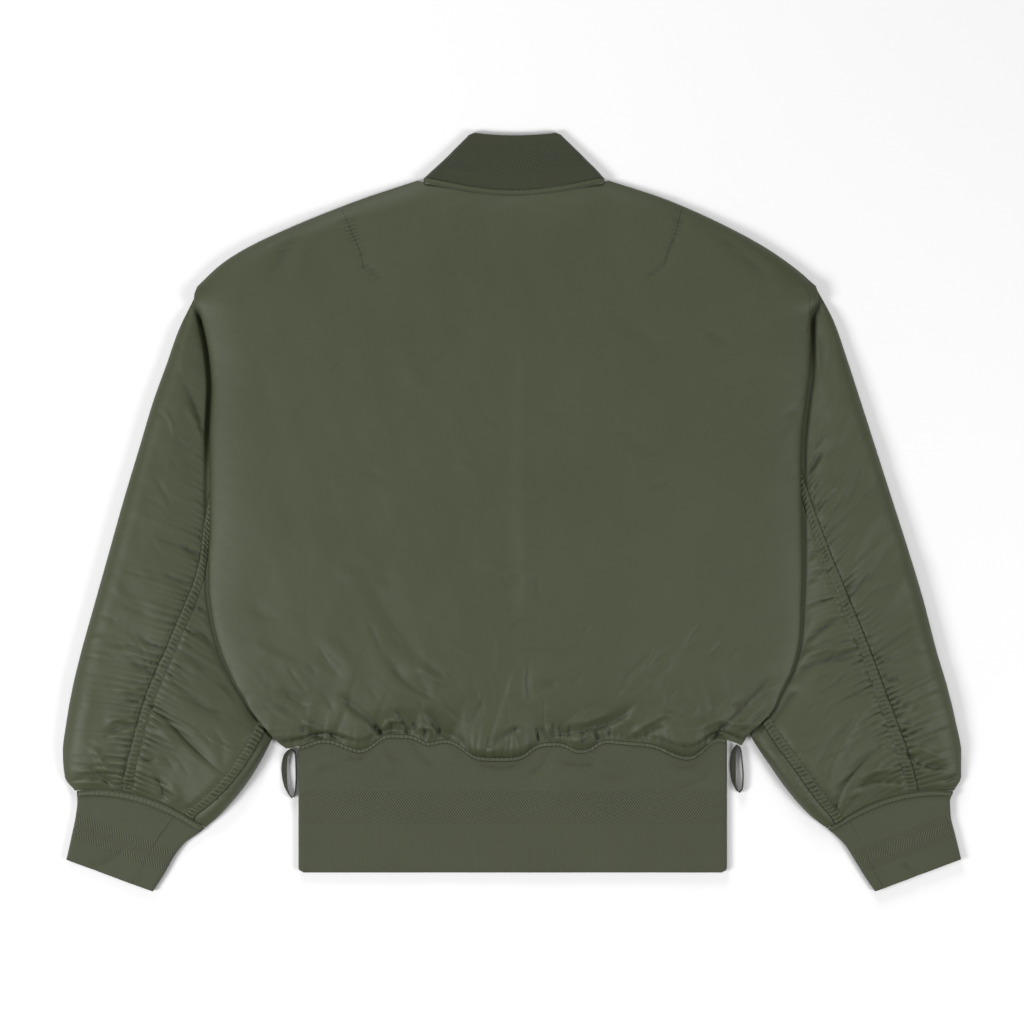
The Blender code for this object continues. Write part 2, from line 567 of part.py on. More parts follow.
# ================================================================ the sleeves
class Sleeve:
    """One sleeve laid flat: sections from the armhole to the cuff, each a flattened ring."""

    OUTER_ROLL = 22.0
    INNER_ROLL = 12.0
    UNDER_ROLL = 7.0
    # rows, closer together towards the cuff
    STEPS = np.concatenate((np.linspace(0, 0.46, 7)[:-1], np.linspace(0.46, 1.0, 18)))

    def __init__(self, side):
        self.side = side
        self.table = SLEEVE[side]
        self.elbow = path_points(ELBOW_SEAM[side], SEAM_STEPS)
        self.inseam = path_points(INNER_SEAM[side], SEAM_STEPS)
        levels = column(BODY, "y")
        self.body_edge = lambda y: abs(float(spline(levels, column(BODY, side), y)))
        self.rows = [self.section(step) for step in self.STEPS]

    def section(self, step):
        """Plan line of a section: start, direction, width, bow, loft and its seams' places."""
        knots = np.linspace(0, 1, len(self.table))
        out_x, out_y, in_x, in_y, bow, loft = (
            float(spline(knots, column(self.table, name), step)) for name in SleeveSection._fields)
        width = math.hypot(in_x - out_x, in_y - out_y)
        direction = np.array([(in_x - out_x) / width, (in_y - out_y) / width])
        row = {"start": np.array([out_x, out_y]), "along": direction, "width": width, "bow": bow,
               "loft": loft, "step": step}
        for name, seam in (("elbow", self.elbow), ("inseam", self.inseam)):
            runs = np.linspace(0, width, SEAM_STEPS)
            line = np.array([self.plan(row, run) for run in runs])
            apart = np.hypot(line[:, None, 0] - seam[None, :, 0], line[:, None, 1] - seam[None, :, 1])
            row[name] = float(runs[np.unravel_index(apart.argmin(), apart.shape)[0]])
        return row

    def plan(self, row, run):
        """A section's point in plan; the section arches towards the shoulder by its bow."""
        share = run / row["width"]
        up = np.array([-row["along"][1], row["along"][0]])
        up = up if up[1] > 0 else -up
        return row["start"] + row["along"] * run + up * row["bow"] * 4 * share * (1 - share)

    def top(self, row, run, index):
        """Height of the upper side where nothing rounds it off."""
        x, y = self.plan(row, run)
        clear = max(0.0, abs(x) - self.body_edge(y) - LOFT_START) if y > HEM_Y else abs(x)
        pressed = LAYERS_PRESSED + SLEEVE_LOFT * (1 - math.exp(-clear / LOFT_REACH))
        height = min(row["loft"], pressed)
        flat, full = SLEEVE_FLAT
        free = min(1.0, max(0.0, (height - LAYERS_PRESSED - flat) / full))
        shape = fold_height(SLEEVE_FOLDS[self.side], x, y)
        for seam in ("elbow", "inseam"):
            off = abs(run - row[seam])
            shape -= SEAM_SINK * math.exp(-(off / SINK_WIDTH) ** 2)
        off = abs(run - row["elbow"])
        shape += PUCKER * (-1) ** index * math.exp(-((off - PUCKER_REACH) / PUCKER_WIDTH) ** 2)
        near_cuff = math.exp(-((1 - row["step"]) / CUFF_GATHER_SHARE) ** 2) * (row["step"] < 1)
        shape += CUFF_GATHER * near_cuff * math.cos(2 * math.pi * run / GATHER_PITCH)
        return height + free * shape

    def point(self, row, index, run, zone, angle, inset):
        """Point of the ring: on the top, the floor side, or round an edge at an angle."""
        out = run < row["width"] / 2
        if zone == "roll":
            reach = self.OUTER_ROLL if out else self.INNER_ROLL
            share, rise = roll(angle)
            run = inset + (reach - inset) * share
            run = run if out else row["width"] - run
            height = self.top(row, run, index) - inset
            z = NOSE + (height - NOSE) * rise
        elif zone == "under":
            share, rise = roll(angle)
            run = inset + (self.UNDER_ROLL - inset) * share
            run = run if out else row["width"] - run
            z = NOSE - (NOSE - inset) * rise
        elif zone == "floor":
            z = inset
        else:
            z = self.top(row, run, index) - inset
        x, y = self.plan(row, run)
        return (x, y, z)

    def ring(self, row):
        """The top sleeve's stations: from the elbow seam round under to the inner seam."""
        width = row["width"]
        start = row["elbow"] - SEAM_GAP
        reach = self.OUTER_ROLL
        stations = [(start + (reach - start) * share, "top", 0)
                    for share in (0, 0.07, 0.16, 0.34, 0.56, 0.78)]
        stations += [(0, "roll", angle) for angle in (90, 62, 38, 17)]
        stations += [(0, "under", angle) for angle in (0, 45, 90)]
        stations += [(width * share, "floor", 0) for share in (0.3, 0.5, 0.7)]
        stations += [(width, "under", angle) for angle in (90, 45)]
        stations += [(width, "roll", angle) for angle in (0, 25, 55, 90)]
        stations += [(row["inseam"] + SEAM_GAP, "top", 0)]
        return stations

    def top_sleeve(self):
        """The wide piece: outer edge, floor side and inner edge."""
        grids = []
        for inset in (0.0, WALL):
            grids.append([[self.point(row, index, *station, inset) for station in self.ring(row)]
                          for index, row in enumerate(self.rows)])
        return cloth("sleeve_top_" + self.side, *grids)

    def under_sleeve(self):
        """The narrow piece between the elbow seam and the inner seam."""
        grids = []
        for inset in (0.0, WALL):
            grid = []
            for index, row in enumerate(self.rows):
                start, end = row["elbow"] + SEAM_GAP, row["inseam"] - SEAM_GAP
                shares = (0, 0.09, 0.2, 0.36, 0.54, 0.76, 0.92, 1)
                grid.append([self.point(row, index, start + (end - start) * share, "top", 0, inset)
                             for share in shares])
            grids.append(grid)
        return cloth("sleeve_back_" + self.side, *grids)


# ================================================================ knitted bands
def flat_ring(left, right, height, wall, columns, plan):
    """A flattened ring's outer and inner points, once round, at one level of a band.

    plan gives (x, y) for a share from the left edge, 0, to the right edge, 1.
    """
    span = math.hypot(right[0] - left[0], right[1] - left[1])
    roll_width = 0.5 * height
    points = []
    for inset in (0.0, wall):
        ring = []
        shares = np.linspace(roll_width / span, 1 - roll_width / span, columns)
        for share in shares:
            ring.append((*plan(share), height - inset))
        for angle in (30, 0, -30):
            run, rise = roll(abs(angle))
            run = inset + (roll_width - inset) * run
            z = height / 2 + math.copysign((height / 2 - inset) * rise, angle)
            ring.append((*plan(1 - run / span), z))
        for share in shares[::-1]:
            ring.append((*plan(share), inset))
        for angle in (-30, 0, 30):
            run, rise = roll(abs(angle))
            run = inset + (roll_width - inset) * run
            z = height / 2 + math.copysign((height / 2 - inset) * rise, angle)
            ring.append((*plan(run / span), z))
        points.append(ring)
    return points


def cuff(side):
    """A rib cuff: a closed tube, pressed flat, from its gathered seam to its folded edge."""
    outer, inner = [], []
    for index, row in enumerate(CUFF[side]):
        left, right = np.array([row.out_x, row.out_y]), np.array([row.in_x, row.in_y])
        down = CUFF_SEAM_DROP if index == 0 else 0.0

        def plan(share, left=left, right=right, bow=row.bow, down=down):
            spot = left + (right - left) * share
            return (spot[0], spot[1] + bow * 4 * share * (1 - share) - down)

        ring_out, ring_in = flat_ring(left, right, CUFF_HEIGHT, RIB_WALL, CUFF_COLUMNS, plan)
        outer.append(ring_out)
        inner.append(ring_in)
    return cloth("cuff_" + side, outer, inner, ring=True)


def hem_band():
    """The rib hem: one band from zip to zip, pressed flat, open at the middle of its floor side."""
    half = BAND_HEIGHT / 2
    seam = abs(BODY[0].seam_left) - SEAM_GAP
    floor = [ZIP_HALF, *ZIP_CHANNEL, 0.5 * (ZIP_CHANNEL[1] + seam)]
    first, last = BODY[0].left + HEM_ROLL, BODY[0].right - HEM_ROLL
    tops = [BAND_LEFT + half, *np.linspace(first, last, CENTRE_COLUMNS + 2), BAND_RIGHT - half]
    turn = (90, 40, 0, -40)
    outer, inner = [], []
    for down in BAND_ROWS:
        wave_share = max(0.0, 1 - down / BAND_WAVE_REACH)
        for inset, grid in ((0.0, outer), (RIB_WALL, inner)):
            section = [(-x, inset) for x in floor]
            for angle in turn:
                run, up = roll(abs(angle))
                section.append((BAND_LEFT + inset + (half - inset) * run,
                                half - math.copysign((half - inset) * up, angle)))
            section += [(x, BAND_HEIGHT - inset) for x in tops]
            for angle in reversed(turn):
                run, up = roll(abs(angle))
                section.append((BAND_RIGHT - inset - (half - inset) * run,
                                half - math.copysign((half - inset) * up, angle)))
            section += [(x, inset) for x in reversed(floor)]
            gaps = [SEAM_GAP if first <= x <= last else CORNER_GAP for x, _ in section]
            grid.append([(x, HEM_Y - down - gap + wave_share * hem_offset(x), z)
                         for (x, z), gap in zip(section, gaps)])
    return cloth("hem_band", outer, inner)


def collar():
    """The rib collar, pressed flat: its back lies on its two front ends."""
    outer, inner = [], []
    for level in COLLAR:
        middle = 0.5 * (level.left + level.right)
        for inset, grid in ((0.0, outer), (RIB_WALL, inner)):
            half = level.height / 2
            row = []
            for share in FLOOR_SHARES:
                x = -ZIP_HALF + (level.left + half + ZIP_HALF) * share
                y = level.front_y + (level.left_y - level.front_y) * share
                row.append((x, y, inset))
            for angle in (-40, 0, 40):
                run, up = roll(abs(angle))
                row.append((level.left + inset + (half - inset) * run, level.left_y,
                            half + math.copysign((half - inset) * up, angle)))
            for share in np.linspace(0, 1, COLLAR_COLUMNS):
                x = level.left + half + (level.right - level.left - level.height) * share
                across = (x - middle) / (level.right - middle)
                y = level.back_y + (level.left_y - level.back_y) * min(1.0, across ** 2)
                row.append((x, y, level.height - inset))
            for angle in (40, 0, -40):
                run, up = roll(abs(angle))
                row.append((level.right - inset - (half - inset) * run, level.right_y,
                            half + math.copysign((half - inset) * up, angle)))
            for share in reversed(FLOOR_SHARES):
                x = ZIP_HALF + (level.right - half - ZIP_HALF) * share
                y = level.front_y + (level.right_y - level.front_y) * share
                row.append((x, y, inset))
            grid.append(row)
    return cloth("collar", outer, inner)


def tape_loop(side):
    """A narrow tape folded to a loop, lying partly on its edge."""
    points = LOOP[side]
    turned = points + points[:1]
    along = np.concatenate(([0], np.cumsum(np.hypot(np.diff(column(turned, "x")),
                                                    np.diff(column(turned, "y"))))))
    at = np.linspace(0, along[-1], LOOP_STEPS + 1)[:-1]
    x, y = spline(along, column(turned, "x"), at), spline(along, column(turned, "y"), at)
    tilt = np.radians(spline(along, column(turned, "tilt"), at))
    bm = bmesh.new()
    rings = []
    for i in range(len(at)):
        ahead, behind = (i + 1) % len(at), i - 1
        heading = Vector((x[ahead] - x[behind], y[ahead] - y[behind], 0)).normalized()
        side_way = Vector((-heading.y, heading.x, 0))
        flat = side_way * math.cos(tilt[i]) + Vector((0, 0, 1)) * math.sin(tilt[i])
        thick = heading.cross(flat)
        lowest = LOOP_WIDTH / 2 * math.sin(tilt[i]) + LOOP_WALL / 2 * math.cos(tilt[i]) + SEAM_GAP
        middle = Vector((x[i], y[i], lowest))
        ring = [middle + flat * a * LOOP_WIDTH / 2 + thick * b * LOOP_WALL / 2
                for a, b in ((1, 1), (-1, 1), (-1, -1), (1, -1))]
        rings.append([bm.verts.new(point * MM) for point in ring])
    for i, ring in enumerate(rings):
        following = rings[(i + 1) % len(rings)]
        for j in range(4):
            k = (j + 1) % 4
            bm.faces.new((ring[j], ring[k], following[k], following[j]))
    bmesh.ops.recalc_face_normals(bm, faces=bm.faces)
    mesh = bpy.data.meshes.new("loop_" + side)
    bm.to_mesh(mesh)
    bm.free()
    return mesh


# ================================================================ the zip
def box_mesh(name, size, centre, bevel=0.0):
    """A block with softened edges, in millimetres."""
    bm = bmesh.new()
    bmesh.ops.create_cube(bm, size=1.0)
    bmesh.ops.scale(bm, vec=Vector(size) * MM, verts=bm.verts)
    if bevel:
        bmesh.ops.bevel(bm, geom=bm.edges[:], offset=bevel * MM, segments=1, affect="EDGES")
    bmesh.ops.translate(bm, vec=Vector(centre) * MM, verts=bm.verts)
    mesh = bpy.data.meshes.new(name)
    bm.to_mesh(mesh)
    bm.free()
    return mesh


def zip_strip(name, low_x, high_x, lift, depth, top_y, bottom_y):
    """A strip of the zip that follows the rise of the front edges."""
    outer, inner = [], []
    for y in np.linspace(bottom_y, top_y, 9):
        z = zip_lift(y) + lift
        outer.append([(x, y, z) for x in (low_x, high_x)])
        inner.append([(x, y, z + depth) for x in (low_x, high_x)])
    return cloth(name, outer, inner)


def boolean(target, cutter, operation):
    """Joins a helper to a piece, or cuts it out, and applies it."""
    change = target.modifiers.new(operation.lower(), "BOOLEAN")
    change.operation = operation
    change.solver = "EXACT"
    change.object = cutter
    cutter.hide_render = True
    cutter.display_type = "WIRE"


def pin_along_x(name, radius, length, centre, parent):
    """A round bar across the jacket, used to join or to cut."""
    bm = bmesh.new()
    bmesh.ops.create_cone(bm, cap_ends=True, segments=12, radius1=radius * MM, radius2=radius * MM,
                          depth=length * MM)
    bmesh.ops.rotate(bm, verts=bm.verts, cent=(0, 0, 0), matrix=Matrix.Rotation(math.pi / 2, 3, "Y"))
    bmesh.ops.translate(bm, vec=Vector(centre) * MM, verts=bm.verts)
    mesh = bpy.data.meshes.new(name)
    bm.to_mesh(mesh)
    bm.free()
    helper = bpy.data.objects.new(name, mesh)
    helper.parent = parent
    bpy.context.collection.objects.link(helper)
    return helper


def helper_box(name, size, centre, parent):
    """A block used to join or to cut."""
    helper = bpy.data.objects.new(name, box_mesh(name, size, centre))
    helper.parent = parent
    bpy.context.collection.objects.link(helper)
    return helper


def zip_pieces(parent, tape, metal):
    """Two tapes behind the front edges, the closed chain, the slider and its pull tab."""
    ends = (FRONT_NECK_Y - ZIP_TOP_GAP, HEM_BOTTOM_Y + ZIP_BOTTOM_GAP)
    for side, sign in (("left", -1), ("right", 1)):
        edges = sorted((sign * SEAM_GAP / 2, sign * TAPE_WIDTH))
        mesh = zip_strip("zip_tape_" + side, *edges, WALL + SEAM_GAP, TAPE_WALL, *ends)
        add_object(mesh.name, mesh, tape, parent)
    chain = zip_strip("zip_chain", -CHAIN_HALF, CHAIN_HALF, SEAM_GAP, CHAIN_DEPTH, *ends)
    add_object("zip_chain", chain, metal, parent)

    plate_z = SLIDER_Z + SLIDER_SIZE[2] / 2
    slider = add_object("zip_slider", box_mesh("zip_slider", SLIDER_SIZE, (0, SLIDER_Y, plate_z),
                                                 SLIDER_EDGE), metal, parent)
    lug_low, lug_high = HINGE_Z - PIN_RADIUS - LUG_COVER, SLIDER_Z + LUG_ROOT
    lug = helper_box("lug", (*LUG_SIZE, lug_high - lug_low), (0, SLIDER_Y, 0.5 * (lug_low + lug_high)), parent)
    pin = pin_along_x("pin", PIN_RADIUS, PULL_SIZE[0] - 2 * PIN_INSET, (0, SLIDER_Y, HINGE_Z), parent)
    boolean(slider, lug, "UNION")
    boolean(slider, pin, "UNION")

    hinge = bpy.data.objects.new("pull_hinge", None)
    hinge.location = Vector((0, SLIDER_Y, HINGE_Z)) * MM
    hinge.parent = parent
    bpy.context.collection.objects.link(hinge)
    radius = PULL_SIZE[2] / 2
    mesh = box_mesh("zip_pull", PULL_SIZE, (0, radius - PULL_SIZE[1] / 2, 0), PULL_EDGE)
    pull = add_object("zip_pull", mesh, metal, hinge)
    slot_length = 2 * radius + SLOT_DEPTH
    slot = helper_box("slot", (PULL_SLOT, slot_length, 6), (0, radius + 1 - slot_length / 2, 0), hinge)
    hole = pin_along_x("hole", PULL_HOLE, 12, (0, 0, 0), hinge)
    boolean(pull, slot, "DIFFERENCE")
    boolean(pull, hole, "DIFFERENCE")


# ================================================================ assembly
def main():
    """Builds the jacket from the floor up."""
    for thing in list(bpy.data.objects):
        bpy.data.objects.remove(thing, do_unlink=True)
    nylon = material("nylon", NYLON, 0.5)
    rib = material("rib", RIB, 0.85)
    tape = material("tape", TAPE, 0.8)
    metal = material("metal", METAL, 0.4, 0.9)
    jacket = bpy.data.objects.new("jacket", None)
    bpy.context.collection.objects.link(jacket)

    meshes = []
    for side in ("left", "right"):
        sleeve = Sleeve(side)
        for mesh in (sleeve.top_sleeve(), sleeve.under_sleeve()):
            add_object(mesh.name, mesh, nylon, jacket)
            meshes.append(mesh)
        for mesh in (cuff(side), tape_loop(side)):
            add_object(mesh.name, mesh, rib if mesh.name.startswith("cuff") else tape, jacket)
        front = front_panel(side)
        add_object(front.name, front, nylon, jacket)
    back = back_panel(sleeve_surface(meshes))
    add_object(back.name, back, nylon, jacket)
    for mesh in (hem_band(), collar()):
        add_object(mesh.name, mesh, rib, jacket)
    zip_pieces(jacket, tape, metal)


main()
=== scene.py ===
"""Bomber jacket lying closed on its front, seen from straight above its back.

The cloth is worked out from short tables of sizes in millimetres; meshes get metres. The floor is
z = 0, the origin is the middle of the jacket's footprint and the collar points to +Y. "Left" is
the wearer's left, at -X.
"""
import logging
import math
from collections.abc import Callable, Iterable, Sequence
from dataclasses import dataclass, field
from enum import Enum
from typing import Any, NamedTuple

import bmesh
import bpy
import numpy as np
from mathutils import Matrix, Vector
from mathutils.bvhtree import BVHTree


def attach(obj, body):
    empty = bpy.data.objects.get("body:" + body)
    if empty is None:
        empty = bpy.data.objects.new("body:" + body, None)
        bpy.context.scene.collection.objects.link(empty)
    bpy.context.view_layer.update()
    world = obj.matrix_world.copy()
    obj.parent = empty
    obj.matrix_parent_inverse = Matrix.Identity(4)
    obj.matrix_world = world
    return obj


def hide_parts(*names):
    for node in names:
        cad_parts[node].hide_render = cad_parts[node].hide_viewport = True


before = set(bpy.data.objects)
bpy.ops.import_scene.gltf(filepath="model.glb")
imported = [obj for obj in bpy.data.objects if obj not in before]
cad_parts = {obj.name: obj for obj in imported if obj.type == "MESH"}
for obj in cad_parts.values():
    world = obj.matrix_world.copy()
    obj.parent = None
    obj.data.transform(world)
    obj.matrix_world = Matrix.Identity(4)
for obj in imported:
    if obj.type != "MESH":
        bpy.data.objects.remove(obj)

Array = np.ndarray
Piece = bpy.types.Object
Triple = tuple[float, float, float]
log = logging.getLogger("jacket")

# ---------------------------------------------------------------- sizes of the cut, millimetres
MM = 0.001
Place = tuple[float, float]
WALL = 3.0                  # padded cloth, quilted flat
SHELL = 1.6                 # what is modelled of it
RIB_SHELL = 2.2
SEAM_GAP = 0.3
CORNER_GAP = 0.7
LAY_GAP = 0.6
FOLD_AIR = 1.6
LAYERS_PRESSED = 8.0
SLEEVE_LOFT = 14.0
LOFT_REACH = 20.0
LOFT_START = 4.0
LOFT_BELOW = 80.0           # nothing presses the sleeve below the hem seam
SIDE_ROLL = 45.0            # width of the round shoulder of the body's edge
HEM_ROLL = 25.0             # the same at the hem seam
ROLL_GROWTH = 40.0          # the shoulder widens over this height above the hem seam
FLAP_ROLL = 8.0             # under half of the folded edge
FLAP_ROLL_SHARE = 0.7       # but at most this share of the flap
NECK_DIP = 15.5             # the back neckline hangs this far at its middle
NECK_DIP_REACH = 60.0       # and draws the rows down this far below it
HEM_Y = -233.0              # mean line of the hem seam
HEM_WAVE_REACH = 50.0       # the rows of the back follow the seam's wave up to this height
BAND_WAVE_REACH = 40.0      # and the band's rows down to this depth
GATHER_REACH = 36.0         # the cloth bags over the band up to this height
HEM_GATHER = 0.4            # and stands this much higher for each millimetre that the hem dips
NECK_Y = 332.0
HEM_BOTTOM_Y = -361.0
BAND_HEIGHT = 7.4
BAND_LEFT, BAND_RIGHT = -214.0, 215.5
CUFF_HEIGHT = 8.4
CUFF_WIDTH = 130.0          # across its seam
CUFF_SEAM_DROP = 0.3
NOSE = 4.3
ZIP_HALF = 3.6
ZIP_CHANNEL = (12.0, 20.0)
ZIP_RISE = 5.0              # the fronts rise this far over the zip
ZIP_RISE_START = 10.0       # from this far above the hem seam
ZIP_RISE_LENGTH = 240.0     # over this length
FRONT_NECK_Y = 258.0
SIDE_SEAM_TOP = -50.0
REST_REACH = (6.0, 12.0)
STEP_IN = 4.0
NECK_LAP = 3.2              # how much farther the neck strip laps at its ends
STRIP_LAP = 1.3             # how far a strip laps over the seam it covers
SEAM_SINK = 1.4
# painted crease shade: the cloth's colour is darkened where it lies deep in a crease
HOLLOW_REACH = 3.2          # how far round a place its crease is measured
PROFILE_REACH = 1.6 * HOLLOW_REACH   # the same along the rows' own profile
HOLLOW_DEPTH = 1.5          # depth of a crease that gets the full painted shade
HOLLOW_START = 0.06         # a crease shallower than this share of it gets no painted shade
STRIP_SHELL = 0.7
STRIP_HOLLOW = 0.55         # depth of a crease that gets the full painted shade on a narrow strip
THREAD_LIFT = 0.1           # how far thread stands above its strip
SMOOTH_FOLD = 50.0          # a fold sharper than this looks like an edge, degrees
FREE_EDGE_FALL = 1.3        # a knit's two layers draw together at its free edge: from above
FREE_EDGE_RISE = 0.9        # and from below
FLOOR_SIDE = 0.1            # what lies lower than this is on the floor
UPPER_SIDE = 0.9            # what lies higher than this share of a band is its upper side
SIDE_LIFT_REACH = 60.0      # how far in the back is held up by the sleeves under its sides
CORNER_FALL = 4.8           # the back falls away by this much at its lower corners
MIDDLE_RISE = 0.8           # and stands this much higher in its middle


class Side(Enum):
    """The two sides of the jacket, as the wearer names them."""

    LEFT = "left"
    RIGHT = "right"

    @property
    def sign(self) -> int:
        """Direction of this side along X."""
        return -1 if self is Side.LEFT else 1


class Seam(Enum):
    """The two long seams of a sleeve."""

    ELBOW = "elbow"
    INSEAM = "inseam"


class BodyLevel(NamedTuple):
    """The body at one height: folded edges, hidden seams under them and height off the floor."""

    y: float
    left: float
    right: float
    seam_left: float
    seam_right: float
    top: float


BODY = [BodyLevel(*row) for row in (
    (-233, -226, 230, -210, 212, 8.6),
    (-228, -233, 233, -207, 209, 10.4),
    (-220, -241, 238, -204, 206, 12.9),
    (-211, -249, 248, -201, 203, 15.5),
    (-196, -261, 261, -198, 199, 19.0),
    (-186, -267, 266, -196, 197, 20.9),
    (-174, -275, 272, -193.5, 194.5, 22.5),
    (-160, -282, 279, -190.5, 191.5, 23.6),
    (-145, -289, 284, -187, 188, 24.0),
    (-127, -295, 287.5, -183, 184, 24.0),
    (-104, -300, 289, -177, 178, 24.0),
    (-76, -303.5, 290, -169, 170, 24.0),
    (-60, -303.5, 290.5, -171, 171, 24.0),
    (-48, -303.5, 290.5, -182, 182, 24.0),
    (-14, -302, 290, -200, 197, 24.0),
    (48, -302, 289, -232, 224, 24.0),
    (76, -302, 290, -246, 236, 24.0),
    (99, -301, 292.5, -258, 246, 24.0),
    (122, -300, 295.5, -269, 256, 24.0),
    (150, -302, 298, -283, 268, 24.0),
    (198, -312, 298.5, -300, 287, 23.0),
    (212, -318, 306, -305, 288, 22.5),
    (223, -316.5, 305, -304, 289, 22.0),
    (234, -307, 295.5, -296, 284, 21.5),
    (250, -289, 276, -279, 266, 20.5),
    (266, -263, 252, -254, 243, 19.5),
    (282, -229, 223, -221, 215, 18.5),
    (298, -191, 190, -184, 183, 17.0),
    (314, -149, 152, -142, 145, 15.0),
    (332, -94.5, 97, -90, 92, 11.5),
)]


class Spot(NamedTuple):
    """A place in plan."""

    x: float
    y: float


# The hem seam is gathered: it dips where the cloth bags over the band
HEM_WAVE = [Spot(*row) for row in (
    (-232, -238), (-215, -235), (-187, -226.6), (-167, -233), (-152, -238),
    (-139, -232), (-128, -222), (-98, -223), (-86, -231), (-66, -226.6),
    (-51, -233), (-38, -244), (-13, -245.6), (10, -244), (26, -231),
    (51, -230), (64, -238), (78, -237), (90, -227), (112, -229),
    (142, -232), (164, -242), (178, -245), (192, -236), (205, -225),
    (232, -235),
)]


class SleeveSection(NamedTuple):
    """A line across a flat sleeve, with its bow towards the shoulder and its height."""

    out_x: float
    out_y: float
    in_x: float
    in_y: float
    bow: float
    loft: float


SLEEVE = {
    Side.LEFT: [SleeveSection(*row) for row in (
        (-318, 215, -183, -48, 0, 15), (-334, 182, -188, -72, 0, 17),
        (-346, 148, -193, -94, 0, 18), (-359, 112, -200, -115, 0, 19),
        (-374, 62, -209, -142, 0, 20), (-389, 12, -218, -167, 0, 21),
        (-403, -38, -226, -190, 0, 22), (-417, -88, -236, -217, 0, 22),
        (-431, -138, -246, -239, 2, 22), (-440, -175, -256, -257, 4, 22),
        (-446, -208, -268, -275, 7, 21), (-450, -240, -280, -290, 10, 19),
        (-448, -265, -294, -305, 13, 14), (-438, -279, -307, -316, 15, 8.6),
    )],
    Side.RIGHT: [SleeveSection(*row) for row in (
        (306, 222, 183, -48, 0, 15), (322, 192, 188, -72, 0, 17),
        (336, 152, 193, -94, 0, 18), (349, 112, 200, -115, 0, 19),
        (365, 62, 209, -142, 0, 20), (381, 12, 218, -167, 0, 21),
        (397, -38, 227, -192, 0, 22), (412, -88, 238, -222, 0, 22),
        (425, -138, 250, -242, 2, 22), (436, -175, 261, -258, 4, 22),
        (444, -208, 273, -275, 6, 21), (450, -240, 286, -291, 9, 19),
        (450, -264, 301, -306, 12, 14), (443, -279, 316, -317, 14, 8.6),
    )],
}
SEAMS = {
    (Seam.ELBOW, Side.LEFT): [Spot(*row) for row in (
        (-272, 122), (-290, 60), (-302, 0), (-310, -58), (-333, -120), (-363, -193), (-377, -244),
        (-385, -279))],
    (Seam.ELBOW, Side.RIGHT): [Spot(*row) for row in (
        (256, 122), (280, 66), (290, 25), (312, -39), (349, -131), (374, -198), (395, -258),
        (403, -287))],
    (Seam.INSEAM, Side.LEFT): [Spot(*row) for row in (
        (-199, -18), (-214, -96), (-232, -160), (-250, -212), (-278, -260), (-301, -285), (-324, -303))],
    (Seam.INSEAM, Side.RIGHT): [Spot(*row) for row in (
        (199, -18), (214, -96), (234, -160), (255, -209), (287, -255), (307, -283), (328, -307))],
}


class CuffSection(NamedTuple):
    """A line across a cuff, with its bow towards the sleeve."""

    out_x: float
    out_y: float
    in_x: float
    in_y: float
    bow: float


CUFF = {
    Side.LEFT: [CuffSection(*row) for row in (
        (-436, -280, -307.6, -316.6, 15), (-435.5, -290, -317, -324, 9),
        (-437, -304, -327, -331, 4), (-440.5, -321, -337, -343, 1),
        (-443.5, -335, -348, -362, 0), (-446.5, -348, -359.5, -380, 0),
    )],
    Side.RIGHT: [CuffSection(*row) for row in (
        (442, -280, 316.6, -317.6, 14), (439, -290, 323, -323, 9),
        (439.5, -304, 333, -333, 4), (443.5, -321, 341, -345, 1),
        (447, -335, 352, -363, 0), (450, -347.5, 363.5, -380, 0),
    )],
}


class CollarLevel(NamedTuple):
    """The collar at one level: folded sides, back and front ends, and height off the floor."""

    left: float
    left_y: float
    right: float
    right_y: float
    back_y: float
    front_y: float
    height: float


COLLAR = [CollarLevel(*row) for row in (
    (-88.5, 333.9, 92.5, 333.9, 317.3, 259, 11.0),
    (-80, 342, 85.5, 342, 326.5, 270, 10.6),
    (-69, 352, 75.5, 352, 341, 283, 10.0),
    (-57, 364, 63.5, 364, 357, 298, 9.2),
    (-46, 375, 52, 375, 371, 311, 8.4),
    (-43.0, 378.0, 49.0, 378.0, 374.6, 314.4, 8.0),
    (-38.0, 379.8, 44.0, 379.8, 377.2, 317, 7.6),
)]


# ---------------------------------------------------------------- creases
CREASE_SPREAD = 0.78        # how far a crease's flanks spread, in widths
CREASE_REACH = 2.8          # how far away it is felt, in widths
CREASE_STEEP = 1.5          # how strongly lean tips it
CREASE_END = 0.35           # share of its length over which it fades
RIDGE, TROUGH = 2.0, 1.25   # how soft its flanks are


